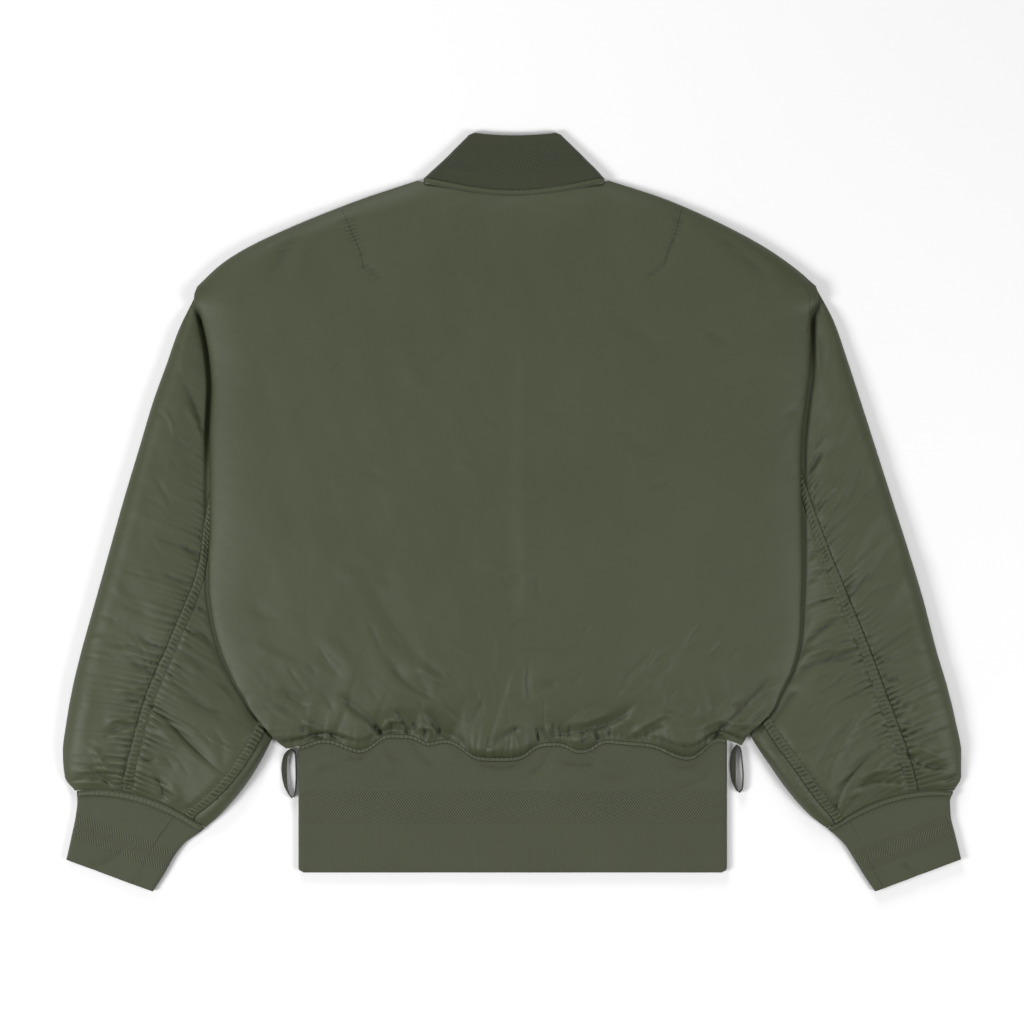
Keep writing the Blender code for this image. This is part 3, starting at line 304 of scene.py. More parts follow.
@dataclass(frozen=True)
class Crease:
    """A soft ridge, or a trough where height is negative, along a short line in plan.

    points holds x and y by turns. lean makes one flank steeper, as in cloth that is pushed over.
    start and end are how much of the height is left at the line's two ends.
    """

    points: tuple[float, ...]
    width: float = 5.0
    height: float = 2.0
    lean: float = 0.6
    start: float = 0.0
    end: float = 0.0

    def line(self) -> Array:
        """The crease's middle line, smoothed.

        Returns:
            Points an even distance apart, one a row.
        """
        knots = np.reshape(self.points, (-1, 2)).astype(float)
        along = run_along(knots)
        count = max(6, int(along[-1] / max(2.0, 0.6 * self.width)))
        at = np.linspace(0.0, along[-1], count)
        return np.column_stack([spline(along, knots[:, k], at) for k in (0, 1)])

    def lift(self, x: Array, y: Array) -> Array:
        """How far the crease raises the cloth.

        Args:
            x: places across the jacket.
            y: places up the jacket, in the same shape.

        Returns:
            The rise at each place, negative in a trough.
        """
        line = self.line()
        reach = CREASE_REACH * self.width
        low, high = line.min(axis=0) - reach, line.max(axis=0) + reach
        near = (x > low[0]) & (x < high[0]) & (y > low[1]) & (y < high[1])
        rise = np.zeros_like(x)
        if not near.any():
            return rise
        spot = np.column_stack((x[near], y[near]))[:, None, :]
        first, step = line[:-1], np.diff(line, axis=0)
        length = np.hypot(*step.T)
        share = np.clip(((spot - first) * step).sum(axis=2) / length ** 2, 0.0, 1.0)
        off = spot - (first + step * share[:, :, None])
        apart = np.hypot(off[..., 0], off[..., 1])
        best = apart.argmin(axis=1)
        pick = np.arange(len(best))
        turn = step[best, 0] * off[pick, best, 1] - step[best, 1] * off[pick, best, 0]
        across = np.copysign(apart[pick, best], turn) / (CREASE_SPREAD * self.width)
        along = (best + share[pick, best]) / len(step)
        softness = RIDGE if self.height > 0 else TROUGH
        rise[near] = (self.height * self.taper(along) * np.exp(-np.abs(across) ** softness)
                      * (1.0 + CREASE_STEEP * self.lean * across))
        return rise

    def taper(self, along: Array) -> Array:
        """How much of the height is left at a share of the crease's length."""
        rise = self.start + (1.0 - self.start) * smooth(along / CREASE_END)
        fall = self.end + (1.0 - self.end) * smooth((1.0 - along) / CREASE_END)
        return rise * fall


BACK_CREASES = [Crease(*row) for row in (
    # the long soft fold down the middle
    ((9, 222, 8, 60, 11, -60, 9, -200), 13, 1.1, 0.5),
    # darts at the shoulders, with the pucker at their ends
    ((-170, 304, -161, 281, -151, 257, -148, 240), 3.2, -1.3, 0.4, 1, 0.3),
    ((-148, 246, -136, 234, -126, 229), 5, -1.2, 0.8, 0.7),
    ((-152, 252, -141, 246, -128, 245), 4, 1, 0.6, 0.5),
    ((169, 304, 164, 281, 157, 262, 151, 242), 3.2, -1.3, -0.4, 1, 0.3),
    ((151, 247, 140, 236, 130, 232), 5, -1.1, -0.8, 0.7),
    # armhole seams at the shoulder tips
    ((288, 236, 300, 226, 311, 211), 2.6, -1.2, 0, 1, 1),
    ((-311, 224, -316, 214, -317, 204), 2.6, -1, 0, 1, 1),
    # left of the hem
    ((-136, -134, -126, -146, -109, -168, -93, -179, -66, -194), 6.5, -2.6, 0.7),
    ((-98, -151, -82, -164, -66, -174), 6, 1.7, 0.5),
    ((-177, -179, -154, -201, -142, -209, -133, -221), 5.5, -3.2, 0.8, 0, 1),
    ((-217, -214, -204, -221, -192, -226), 4, -2.4, 0.6, 0, 0.8),
    ((-212, -206, -199, -215, -187, -222), 4, 2.2, 0.5, 0, 0.8),
    ((-235, -178, -219, -187, -202, -198), 5.5, -1.9, 0.6),
    ((-246, -190, -228, -203, -214, -212), 5, 1.3, 0.4),
    ((-119, -198, -113, -204, -109, -211), 4, -2, 0.5, 0.3, 0.8),
    ((-93, -196, -78, -211, -70, -222, -50, -234), 4.8, -3, 0.8, 0.2, 1),
    ((-128, -217, -122, -210, -113, -209, -111, -216), 3.4, 2, 0.3, 0.8, 0.5),
    ((-98, -222, -92, -216, -82, -216, -78, -222), 3.4, 2.2, 0.3, 0.8, 0.5),
    ((-140, -212, -133, -220, -130, -229), 2.2, -2.4, 0.5, 0.1, 1),
    ((-124, -206, -121, -214, -124, -226), 2.4, -2.2, 0.5, 0, 1),
    ((-112, -208, -106, -216, -104, -226), 2.2, -2, -0.5, 0, 1),
    ((-101, -209, -98, -217, -99, -226), 2, -2.2, 0.5, 0, 1),
    ((-92, -211, -88, -219, -90, -229), 2.2, -2.2, 0.4, 0, 1),
    ((-76, -214, -72, -221, -73, -229), 2.2, -2, -0.4, 0, 1),
    ((-196, -219, -184, -222, -172, -229), 2.4, -2, 0.4, 0.1, 1),
    # the middle of the hem
    ((22, -214, 25, -221, 27, -230), 2.2, -2.4, 0.5, 0, 1),
    ((47, -211, 48, -219, 49, -230), 2, -2.2, -0.5, 0, 1),
    ((57, -211, 56, -220, 58, -232), 2.4, -2.2, 0.5, 0, 1),
    ((72, -217, 70, -225, 71, -235), 2.2, -2, -0.4, 0, 1),
    ((86, -213, 84, -220, 86, -229), 2.2, -2.2, 0.4, 0, 1),
    ((100, -213, 98, -220, 99, -229), 2.2, -2, -0.4, 0, 1),
    ((212, -211, 206, -219, 203, -226), 2.4, -2.2, 0.4, 0, 1),
    ((-20, -233, -5, -222, 8, -216, 16, -215), 4.5, -2.3, 0.8, 0.8),
    ((-12, -224, 5, -214, 19, -219), 4.5, 1.8, 0.4, 0.4),
    ((28, -213, 30, -220, 32, -229), 2.8, -2.2, 0.5, 0, 1),
    ((41, -208, 42, -218, 42, -229), 2.8, -2.2, -0.5, 0, 1),
    ((36, -211, 36, -220, 37, -229), 2.8, 1.8, 0, 0, 1),
    ((53, -223, 88, -216, 107, -207, 117, -199, 126, -186), 5.5, -3.4, 0.8, 0.7),
    ((58, -213, 84, -207, 102, -199), 5, 1.6, 0.4),
    ((66, -229, 78, -221, 90, -214), 3.6, 1.8, 0.4, 0.6),
    ((119, -224, 137, -211, 154, -203, 170, -207), 4.2, 2, 0.4, 0.6, 0.2),
    ((124, -230, 142, -219, 160, -212), 4, -1.8, 0.4, 0.6),
    ((24, -181, 34, -174, 48, -173), 5, -1.6, 0.5, 0.3),
    ((-5, -133, 46, -136, 74, -131, 94, -121), 8, -1.1, 0.5),
    ((15, -148, 13, -170, 16, -194), 5, -1.8, 0.6, 0.4),
    ((101, -179, 121, -158, 145, -133), 8, -2.1, 0.6),
    ((128, -186, 150, -163, 168, -146), 7, 1.2, 0.4),
    # right of the hem: the big fold and the fine ones outside it
    ((205, -224, 220, -207, 238, -188, 257, -168, 273, -161), 5, -2.2, 0.8, 0.8),
    ((196, -214, 214, -196, 230, -178), 7, 1.5, 0.3),
    ((225, -219, 241, -203, 256, -190), 3.6, 1.8, 0.5, 0.6),
    ((234, -218, 249, -203, 262, -192), 3.6, -1.8, 0.5, 0.6),
    ((236, -196, 252, -180, 266, -172), 3.6, 1.6, 0.5),
    ((244, -183, 258, -172, 272, -168), 3.4, -1.3, 0.5),
    # the soft creases of the middle of the back
    ((-159, -43, -130, -96, -99, -140, -63, -176), 12, -1.4, 0.5),
    ((-200, -120, -168, -150, -150, -178), 11, 1.1, 0.4),
    ((-34, -66, -20, -57, -7, -63, 8, -59, 23, -71), 6, 1.2, 0.5),
    ((-28, -76, -12, -72, 2, -78), 5, -0.9, 0.4),
    ((15, -64, 22, -73, 20, -86), 5, -1.3, 0.6),
    ((-33, 84, -24, 84, -14, 76), 5, 0.9, 0.5),
    ((-36, 214, -27, 225, -18, 217), 5, 0.8, 0.5),
    ((100, 76, 122, 67, 144, 55), 7, -1.1, 0.5),
    ((185, 181, 204, 173, 222, 163), 6, -1.1, 0.5),
    ((88, 204, 124, 180, 160, 149), 11, -1, 0.5),
    ((-120, 160, -96, 128, -60, 96), 14, 0.8, 0.4),
    ((178, -122, 152, -166, 124, -210), 12, -1.2, 0.5),
    ((-262, -130, -236, -146, -210, -156), 8, 1.1, 0.5),
    ((-270, -90, -246, -104, -226, -108), 7, -0.9, 0.5),
    ((-180, -56, -160, -66, -144, -62), 7, 0.8, 0.5),
    # pulls from the shoulders
    ((-219, 282, -230, 258, -243, 227), 9, -1.5, 0.5, 0.5),
    ((-200, 290, -212, 262, -220, 224), 9, 0.9, 0.4, 0.3),
    ((190, 288, 226, 258, 268, 221), 10, -1.6, 0.5, 0.5),
    ((206, 290, 240, 262, 276, 234), 8, 0.9, 0.4, 0.3),
    ((238, 240, 258, 205, 268, 160), 10, -0.9, 0.4),
    # the tuck in the right side
    ((293, 116, 284, 104, 276, 99, 268, 97), 4, -1.8, 0.6, 1),
    ((290, 92, 281, 86, 272, 70, 276, 52), 4.5, 1.4, 0.6, 0.6),
    ((283, 66, 276, 44, 279, 20), 4, -1, 0.5, 0.4),
)]

SLEEVE_CREASES = {
    Side.LEFT: [Crease(*row) for row in (
        ((-358, -196, -340, -213, -324, -230, -292, -259), 4.8, -3.2, 0.9, 0.5, 0.3),
        ((-366, -203, -346, -222, -330, -238), 5, 1.6, 0.3, 0.4),
        ((-343, -163, -320, -186, -301, -198, -265, -207), 8, -2.2, 0.6, 0.4),
        ((-336, -146, -322, -153, -306, -166), 4.2, 1.7, 0.5, 0.6),
        ((-324, -118, -310, -124, -295, -138), 4.8, -1.8, 0.6, 0.7),
        ((-319, -97, -310, -97, -299, -103), 4, -1.8, 0.6, 0.8),
        ((-379, -120, -362, -131, -343, -137), 5, -1.7, 0.6, 0, 0.6),
        ((-384, -146, -368, -157, -354, -162), 4.2, -1.7, 0.6, 0, 0.7),
        ((-392, -131, -374, -141, -352, -149), 4.5, 1.3, 0.4, 0, 0.6),
        ((-388, -186, -376, -190, -364, -186), 4, -1.6, 0.6, 0, 0.7),
        ((-398, -176, -382, -178, -366, -174), 4.5, 1.3, 0.4, 0, 0.5),
        ((-407, -226, -392, -217, -374, -211), 4.6, -2.1, 0.7, 0, 0.7),
        ((-409, -214, -394, -207, -378, -203), 4.5, 1.3, 0.4, 0, 0.5),
        ((-424, -235, -416, -240, -407, -255, -394, -261), 5, 1.9, 0.6, 0.2, 0.3),
        ((-423, -253, -411, -264, -400, -277), 3.8, -2.8, 0.7, 0.1, 1),
        ((-441, -270, -424, -267, -404, -270), 3.8, -2, 0.6, 0.4, 0.4),
        ((-437, -262, -424, -259, -410, -261), 3.8, 1.5, 0.4),
        ((-362, -262, -353, -270, -350, -281, -351, -294), 3.8, -2.6, 0.9, 0.1, 1),
        ((-345, -270, -338, -280, -334, -292), 7, 1.7, 0.4, 0.3, 0.3),
        ((-392, -262, -388, -270, -388, -279), 3.4, 1.8, 0.4, 0.1, 1),
        ((-332, 138, -322, 118, -312, 92, -306, 69), 6.5, -1.9, 0.6, 0.2, 0.2),
        ((-329, 112, -318, 90, -310, 69), 5, 1.2, 0.4),
        ((-340, 84, -328, 62, -318, 30), 9, -1, 0.4),
        ((-332, -31, -322, -40, -311, -47), 5, -1.7, 0.6, 0, 0.5),
        ((-352, -58, -336, -68, -320, -74), 5, -1.2, 0.5, 0, 0.5),
        ((-420, -160, -432, -200, -437, -236), 15, 1.2, 0.2),
        ((-396, -60, -380, -84, -352, -98), 10, -0.9, 0.4),
        ((-300, -226, -290, -240, -286, -262), 8, -1, 0.4),
        ((-296, -150, -280, -172, -262, -186), 6, 1.1, 0.5, 0.4),
    )],
    Side.RIGHT: [Crease(*row) for row in (
        ((322, -101, 342, -44, 377, 16), 10, 1.4, 0.4, 0.2),
        ((336, -118, 360, -64, 394, -12), 9, -1.2, 0.4, 0.2),
        ((362, -110, 392, -70, 414, -40), 10, 1.2, 0.4),
        ((330, -4, 346, 34, 358, 70), 8, -1.3, 0.4, 0.3),
        ((316, 54, 334, 92, 346, 126), 9, 1.1, 0.4, 0.2),
        ((302, 186, 308, 166, 310, 140), 4, -1.8, 0.5, 0.4, 0.3),
        ((326, -292, 330, -278, 343, -258, 367, -235), 4.8, -3.2, 0.9, 0.8, 0.3),
        ((336, -290, 346, -272, 372, -248), 4.5, 1.6, 0.4, 0.4, 0.4),
        ((311, -276, 326, -240, 342, -212, 362, -187), 5.5, 1.7, 0.5, 0.1, 0.5),
        ((300, -262, 316, -232, 334, -205), 6, -1.2, 0.4),
        ((285, -138, 297, -128, 314, -115, 331, -105), 4.5, -2.4, 0.8, 0.7, 0.4),
        ((282, -154, 297, -143, 315, -137, 339, -134), 5, 2.1, 0.6, 0.6, 0.4),
        ((279, -168, 298, -155, 324, -148, 344, -150), 5.5, -1.5, 0.5, 0.6, 0.4),
        ((268, -200, 276, -186, 290, -176), 8, -2, 0.5, 0.6),
        ((288, -74, 300, -67, 315, -61), 4.2, -2.1, 0.7, 0.8, 0.3),
        ((291, -93, 304, -91, 322, -86), 4, -1.6, 0.6, 0.8, 0.3),
        ((291, -46, 300, -43, 312, -40), 4, -1.6, 0.6, 0.8, 0.3),
        ((395, -243, 408, -252, 424, -256, 442, -257), 4.6, -2.6, 0.8, 0.8, 0.2),
        ((398, -232, 414, -240, 434, -246), 5, 1.3, 0.4, 0.5),
        ((428, -274, 436, -269, 449, -263), 3.8, -2.4, 0.7, 0.6, 0.6),
        ((432, -266, 440, -261, 449, -257), 3.8, 1.5, 0.4, 0.4, 0.4),
        ((346, -268, 364, -258, 384, -256), 4.6, 1.9, 0.5, 0, 0.4),
        ((337, -278, 366, -269, 396, -272), 3.8, -1.8, 0.6, 0.4, 0.4),
        ((372, -165, 379, -168, 390, -166), 3.6, -1.9, 0.6, 0.8),
        ((376, -186, 390, -193, 408, -196), 4.5, -1.5, 0.6, 0.8),
        ((381, -208, 398, -216, 424, -212), 5, 1.3, 0.5, 0.5),
        ((333, -97, 342, -80, 359, -58), 5, -1.5, 0.7, 0.6),
        ((340, -100, 350, -84, 366, -64), 4.5, 1.2, 0.4, 0.4),
        ((293, 28, 300, 42, 311, 64), 5.2, -2.6, 0.8, 0.9, 0.1),
        ((306, 6, 313, 14, 324, 29), 4.4, 1.7, 0.5, 0.6),
        ((302, 60, 310, 84, 314, 112), 8, -1.2, 0.4, 0.5),
        ((324, 176, 318, 150, 312, 120), 8, -1.2, 0.4),
        ((352, 30, 362, 60, 368, 84), 11, 0.9, 0.3),
        ((330, -20, 348, 10, 368, 30), 9, -0.9, 0.4),
        ((424, -150, 436, -190, 441, -226), 13, 1, 0.2),
        ((290, -232, 300, -252, 316, -274), 6, -0.9, 0.4),
    )],
}

# thin seams sewn into the back: the shoulder darts and the armhole's topstitching, drawn as dark lines of
# painted shadow in their grooves
DARTS = (
    (-170, 302, -161, 281, -151, 257, -148, 242),
    (169, 302, 164, 281, 157, 262, 151, 244),
    (291, 228, 297, 214, 297, 196, 293, 176),
)
SUNK = np.array((0.0, 0.0, 0.02))

BAND_CREASES = [Crease(*row) for row in (
    ((40, -249, 66, -254, 92, -252), 6, -0.8, 0.3),
    ((-200, -246, -120, -258, -50, -268), 8, 0.4, 0.3),
    ((-40, -259, 8, -277, 60, -283, 150, -272, 200, -262), 9, 0.5, 0.3),
    ((-168, -243, -156, -249, -144, -243), 5, -0.7, 0.3),
    ((-44, -251, -10, -256, 20, -250), 6, -0.7, 0.3),
    ((150, -251, 176, -256, 196, -247), 6, -0.7, 0.3),
    ((-70, -236, -60, -246, -40, -254), 6, 0.6, 0.3),
    ((-134, -238, -128, -248, -112, -262), 5, 0.6, 0.3, 0.6),
    ((-100, -232, -92, -244, -74, -258), 5, -0.6, 0.3, 0.6),
    ((36, -240, 30, -252, 12, -266), 5, -0.6, 0.3, 0.6),
    ((78, -244, 92, -256, 118, -264), 6, 0.6, 0.3, 0.5),
    ((206, -250, 188, -268, 152, -280), 8, -0.6, 0.3, 0.5),
    ((-206, -262, -186, -250, -160, -246), 6, 0.6, 0.3, 0.4),
)]
CUFF_CREASES = {
    Side.LEFT: [Crease(*row) for row in (
        ((-414, -357, -398, -345, -384, -334), 7, -1.6, 0.4, 0.6),
        ((-372, -352, -384, -366, -390, -372), 6, 0.8, 0.3, 0, 0.6),
        ((-420, -300, -400, -306, -380, -306), 9, 0.7, 0.3),
    )],
    Side.RIGHT: [Crease(*row) for row in (
        ((388, -348, 397, -357, 407, -366), 4.5, -1.5, 0.4, 0.1, 1),
        ((350, -330, 366, -340, 380, -354), 7, 0.7, 0.3),
        ((430, -306, 436, -322, 440, -336), 9, 0.6, 0.3),
    )],
}
COLLAR_CREASES = [Crease(*row) for row in (
    ((-40, 350, 0, 344, 44, 350), 12, 0.5, 0.2),
    ((60, 352, 70, 346, 80, 345), 6, -0.5, 0.2),
)]
FRONT_CREASES = [Crease(*row) for row in (
    ((60, -222, 74, -196, 96, -178), 6, 1.4, 0.5, 0.8),
    ((120, -226, 128, -204, 122, -184), 5, 1.2, 0.5, 0.8),
    ((170, -214, 158, -190, 140, -160), 7, 1.3, 0.5, 0.8),
    ((40, -120, 80, -108, 118, -112), 9, 0.9, 0.4),
    ((90, 60, 130, 40, 170, 44), 10, 0.9, 0.4),
    ((60, 200, 110, 176, 170, 168), 10, 1, 0.4),
)]


# ---------------------------------------------------------------- curves
def spline(knots: Sequence[float], values: Sequence[float], at: Array | float) -> Array:
    """Monotone cubic through the knots, which may rise or fall evenly.

    Args:
        knots: the places of the values, in rising order.
        values: one value for each knot.
        at: places to read the curve at.

    Returns:
        The curve's values there.
    """
    x, y = np.asarray(knots, float), np.asarray(values, float)
    step = np.diff(x)
    slope = np.diff(y) / step
    tangent = np.zeros_like(y)
    tangent[0], tangent[-1] = slope[0], slope[-1]
    for i in range(1, len(y) - 1):
        if slope[i - 1] * slope[i] > 0:
            w1, w2 = 2 * step[i] + step[i - 1], step[i] + 2 * step[i - 1]
            tangent[i] = (w1 + w2) / (w1 / slope[i - 1] + w2 / slope[i])
    place = np.clip(np.asarray(at, float), x[0], x[-1])
    i = np.clip(np.searchsorted(x, place) - 1, 0, len(step) - 1)
    t = (place - x[i]) / step[i]
    return ((1 + 2 * t) * (1 - t) ** 2 * y[i] + t * (1 - t) ** 2 * step[i] * tangent[i]
            + t * t * (3 - 2 * t) * y[i + 1] + t * t * (t - 1) * step[i] * tangent[i + 1])


def column(rows: Sequence[NamedTuple], name: str) -> Array:
    """One named column of a table."""
    return np.array([getattr(row, name) for row in rows], float)


def read(rows: Sequence[NamedTuple], knots: Array, at: Array) -> list[Array]:
    """Every column of a table, read between its rows."""
    return [spline(knots, column(rows, name), at) for name in rows[0]._fields]


def run_along(points: Array) -> Array:
    """Each point's distance from the first, along the line."""
    return np.concatenate(([0.0], np.cumsum(np.linalg.norm(np.diff(points, axis=0), axis=1))))


def smooth(share: Array) -> Array:
    """Soft step from 0 to 1."""
    t = np.clip(share, 0.0, 1.0)
    return t * t * (3.0 - 2.0 * t)


def inside(place: Array, low: Array | float, high: Array | float, margin: float, fade: float) -> Array:
    """1 well inside two edges, falling softly to 0 at a margin from each."""
    return smooth((place - low - margin) / fade) * smooth((high - place - margin) / fade)


def scatter(index: Array, seed: float) -> Array:
    """An even spread of numbers from 0 to 1, the same each run, one for each whole number."""
    wave = np.sin(index * 12.9898 + seed * 78.233) * 43758.5453
    return wave - np.floor(wave)


def wander(x: Array, y: Array, size: float, seed: float) -> Array:
    """A gentle uneven swell.

    Args:
        x: places across the jacket.
        y: places up the jacket.
        size: how far apart its hills are, millimetres.
        seed: shifts and turns them.

    Returns:
        The swell, about -1 to 1.
    """
    waves, golden_turn, spread, shift, scale_down = 5, 2.399963, 0.23, 1.7, 3.2
    total = np.zeros_like(x)
    for wave in range(waves):
        turn = golden_turn * wave + seed
        scale = 2 * math.pi / (size * (1.0 + spread * wave))
        total += np.sin((x * math.cos(turn) + y * math.sin(turn)) * scale + shift * wave + seed)
    return total / scale_down


def soften(values: Array, reach: float) -> Array:
    """Averages each number of a row with its neighbours.

    Args:
        values: the row.
        reach: how far the average reaches, in places.

    Returns:
        The softened row.
    """
    half = max(1, int(3 * reach))
    weight = np.exp(-0.5 * (np.arange(-half, half + 1) / reach) ** 2)
    padded = np.concatenate((np.full(half, values[0]), values, np.full(half, values[-1])))
    return np.convolve(padded, weight / weight.sum(), mode="valid")


def soften_grid(values: Array, reach: float) -> Array:
    """Every column of a grid of numbers, softened from row to row."""
    return np.column_stack([soften(values[:, j], reach) for j in range(values.shape[1])])


def smooth_path(points: Sequence[Spot], count: int) -> Array:
    """A smooth curve through a table's places.

    Args:
        points: the table.
        count: how many points the curve gets.

    Returns:
        Points an even distance apart.
    """
    along = run_along(np.array(points, float))
    return np.column_stack(read(points, along, np.linspace(0.0, along[-1], count)))


def lifts(creases: Iterable[Crease], x: Array, y: Array) -> Array:
    """All the creases' rises together."""
    return sum((crease.lift(x, y) for crease in creases), np.zeros_like(x))


@dataclass(frozen=True)
class Strays:
    """Small uneven creases, hollows and ridges by turns, scattered over an area.

    seed picks their places. low and high are the area's corners, and way is the least and the
    greatest direction, degrees.
    """

    seed: int
    count: int
    low: Place
    high: Place
    way: Place

    HALF = (8.0, 24.0)
    BEND = 0.35
    HEIGHT = (0.3, 1.0)
    RIDGE_SHARE = 0.7
    WIDTH = (2.2, 3.6)
    LEAN = 0.6

    def creases(self) -> list[Crease]:
        """Draws the creases.

        Returns:
            The same creases each time.
        """
        dice = np.random.default_rng(self.seed)
        found = []
        for index in range(self.count):
            x, y = dice.uniform(self.low, self.high)
            turn = math.radians(dice.uniform(*self.way))
            bend = turn + dice.uniform(-self.BEND, self.BEND)
            half = dice.uniform(*self.HALF)
            first = (x - half * math.cos(turn), y - half * math.sin(turn))
            last = (x + half * math.cos(bend), y + half * math.sin(bend))
            height = dice.uniform(*self.HEIGHT) * (-1 if index % 3 else self.RIDGE_SHARE)
            width, lean = dice.uniform(*self.WIDTH), dice.uniform(-self.LEAN, self.LEAN)
            found.append(Crease((*first, x, y, *last), width, height, lean))
        return found


for creases, areas in (
        (BACK_CREASES, (Strays(3, 34, (-262, -224), (-40, -120), (-62, -28)),
                        Strays(5, 30, (60, -224), (262, -120), (30, 62)),
                        Strays(8, 14, (-50, -226), (60, -140), (60, 130)),
                        Strays(13, 26, (-270, -110), (260, 230), (-40, 50)))),
        (SLEEVE_CREASES[Side.LEFT], (Strays(21, 30, (-372, -292), (-262, -110), (-62, -26)),
                                     Strays(22, 34, (-440, -276), (-352, -60), (-26, 14)),
                                     Strays(23, 16, (-400, -60), (-312, 170), (-70, -20)))),
        (SLEEVE_CREASES[Side.RIGHT], (Strays(31, 30, (262, -292), (376, -110), (16, 58)),
                                      Strays(32, 34, (366, -276), (444, -60), (-10, 34)),
                                      Strays(33, 20, (300, -60), (396, 170), (36, 74))))):
    for area in areas:
        creases += area.creases()


# ---------------------------------------------------------------- shells of cloth
class Cloth:
    """Makes shells of cloth from grids of points."""

    @staticmethod
    def lay(name: str, grid: Array, thickness: float, ring: bool = False,
            coarse_from: int | None = None, full_crease: float = HOLLOW_DEPTH) -> Piece:
        """A shell whose outer side runs through a grid of points.

        Args:
            name: the piece's name.
            grid: points in millimetres, rows up the piece and columns across it, so that
                column direction x row direction points outwards.
            thickness: how far the shell goes inwards, millimetres.
            ring: whether the last column meets the first.
            coarse_from: the row from which every second column is left out.
            full_crease: depth at which a crease gets the darkest painted shade, millimetres.

        Returns:
            The finished piece, with a UV map in metres along the cloth.
        """
        rows, columns = grid.shape[:2]
        bpy.ops.object.select_all(action="DESELECT")
        bpy.ops.mesh.primitive_grid_add(x_subdivisions=columns - 1, y_subdivisions=rows - 1, size=1)
        piece = bpy.context.object
        piece.name = piece.data.name = name
        mesh = piece.data
        mesh.vertices.foreach_set("co", (grid * MM).astype(np.float32).ravel())
        Cloth.measure(mesh, grid)
        # how deep each point lies in a crease, for the shade painted into the finishes
        depth = mesh.attributes.new("painted_crease_shade", "FLOAT", "POINT")
        depth.data.foreach_set("value", Cloth.hollows(grid, full_crease).astype(np.float32).ravel())
        mesh.update()
        if coarse_from is not None:
            Cloth.thin_columns(mesh, columns, coarse_from)
        if ring:
            bpy.ops.object.mode_set(mode="EDIT")
            bpy.ops.mesh.select_all(action="SELECT")
            bpy.ops.mesh.remove_doubles(threshold=1e-6)
            bpy.ops.object.mode_set(mode="OBJECT")
        shell = piece.modifiers.new("shell", "SOLIDIFY")
        shell.thickness = thickness * MM
        shell.offset = -1.0
        bpy.ops.object.modifier_apply(modifier=shell.name)
        bpy.ops.object.shade_smooth_by_angle(angle=math.radians(SMOOTH_FOLD))
        return piece

    @staticmethod
    def thin_columns(mesh: bpy.types.Mesh, columns: int, first_row: int) -> None:
        """Takes every second column out of the smooth part of a grid.

        Args:
            mesh: the grid's mesh.
            columns: how many columns of points it has.
            first_row: the row where the smooth part starts.
        """
        shell = bmesh.new()
        shell.from_mesh(mesh)
        spare = []
        for edge in shell.edges:
            first, second = sorted(vertex.index for vertex in edge.verts)
            if second - first == columns and first // columns >= first_row and first % columns % 2:
                spare.append(edge)
        bmesh.ops.dissolve_edges(shell, edges=spare, use_verts=True)
        shell.to_mesh(mesh)
        shell.free()

    @staticmethod
    def hollows(grid: Array, full: float) -> Array:
        """How deep each point lies below the cloth round it, which sets the shade painted into its colour.

        Args:
            grid: points in millimetres.
            full: depth of a full crease.

        Returns:
            The depth as a share of a full crease, from 0 to 1.
        """
        pitch = [np.linalg.norm(np.diff(grid, axis=axis), axis=2).mean() for axis in (0, 1)]
        profile = soften(np.median(grid[..., 2], axis=1), PROFILE_REACH / pitch[0])
        relief = grid[..., 2] - profile[:, None]
        around = relief
        for axis in (0, 1):
            around = np.apply_along_axis(soften, axis, around, HOLLOW_REACH / pitch[axis])
        return np.clip((around - relief) / full - HOLLOW_START, 0.0, 1.0)

    @staticmethod
    def measure(mesh: bpy.types.Mesh, grid: Array) -> None:
        """Gives the mesh a UV map in metres, measured along its columns and rows.

        Args:
            mesh: the grid's mesh, one vertex for each point.
            grid: the same points in millimetres.
        """
        rows, columns = grid.shape[:2]
        across = np.zeros((rows, columns))
        across[:, 1:] = np.cumsum(np.linalg.norm(np.diff(grid, axis=1), axis=2), axis=1)
        across -= across[:, columns // 2, None]
        up = np.zeros((rows, columns))
        up[1:] = np.cumsum(np.linalg.norm(np.diff(grid, axis=0), axis=2), axis=0)
        flat = np.stack((across, up), axis=2).reshape(-1, 2) * MM
        corners = np.empty(len(mesh.loops), np.int32)
        mesh.loops.foreach_get("vertex_index", corners)
        mesh.uv_layers[0].data.foreach_set("uv", flat[corners].astype(np.float32).ravel())


def rounded(low: float, high: float, steps: int) -> Array:
    """Angles round a fold, radians, without the last one."""
    return np.radians(np.linspace(low, high, steps + 1)[:-1])


def cross(a: Array, b: Array) -> Array:
    """How far two flat directions turn from one to the other."""
    return a[..., 0] * b[..., 1] - a[..., 1] * b[..., 0]


def outwards(side: Side, grid: Array) -> Array:
    """A side's grid with its columns ordered so that its faces point out."""
    return grid if side is Side.LEFT else grid[:, ::-1]


@dataclass
class Pucker:
    """Small gathers beside a seam that pulls the cloth together."""

    height: float
    spacing: float
    near: float
    far: float
    seed: float

    NARROWNESS = 1.8     # of the gathers, against the gaps between them
    SHORTNESS = 1.6      # how many of them end near the seam
    LOWEST = 0.2         # height of the lowest, as a share of the highest
    SEWN_HALF = 4.0      # the seam's own half width

    def lift(self, along: Array, off: Array) -> Array:
        """The gathers' height.

        Args:
            along: distance along the seam.
            off: distance from it.

        Returns:
            The rise at each place.
        """
        phase = along / self.spacing + 0.3 * np.sin(along / 17.0) + 0.2 * np.sin(along / 6.1 + self.seed)
        which = np.round(phase)
        ridge = 1.0 - (0.5 - 0.5 * np.cos(2 * math.pi * (phase - which))) ** self.NARROWNESS
        share = self.LOWEST + (1.0 - self.LOWEST) * scatter(which, self.seed)
        reach = self.near + (self.far - self.near) * scatter(which, self.seed + 1.0) ** self.SHORTNESS
        return self.height * share * ridge * np.exp(-np.maximum(0.0, off - self.SEWN_HALF) / reach)


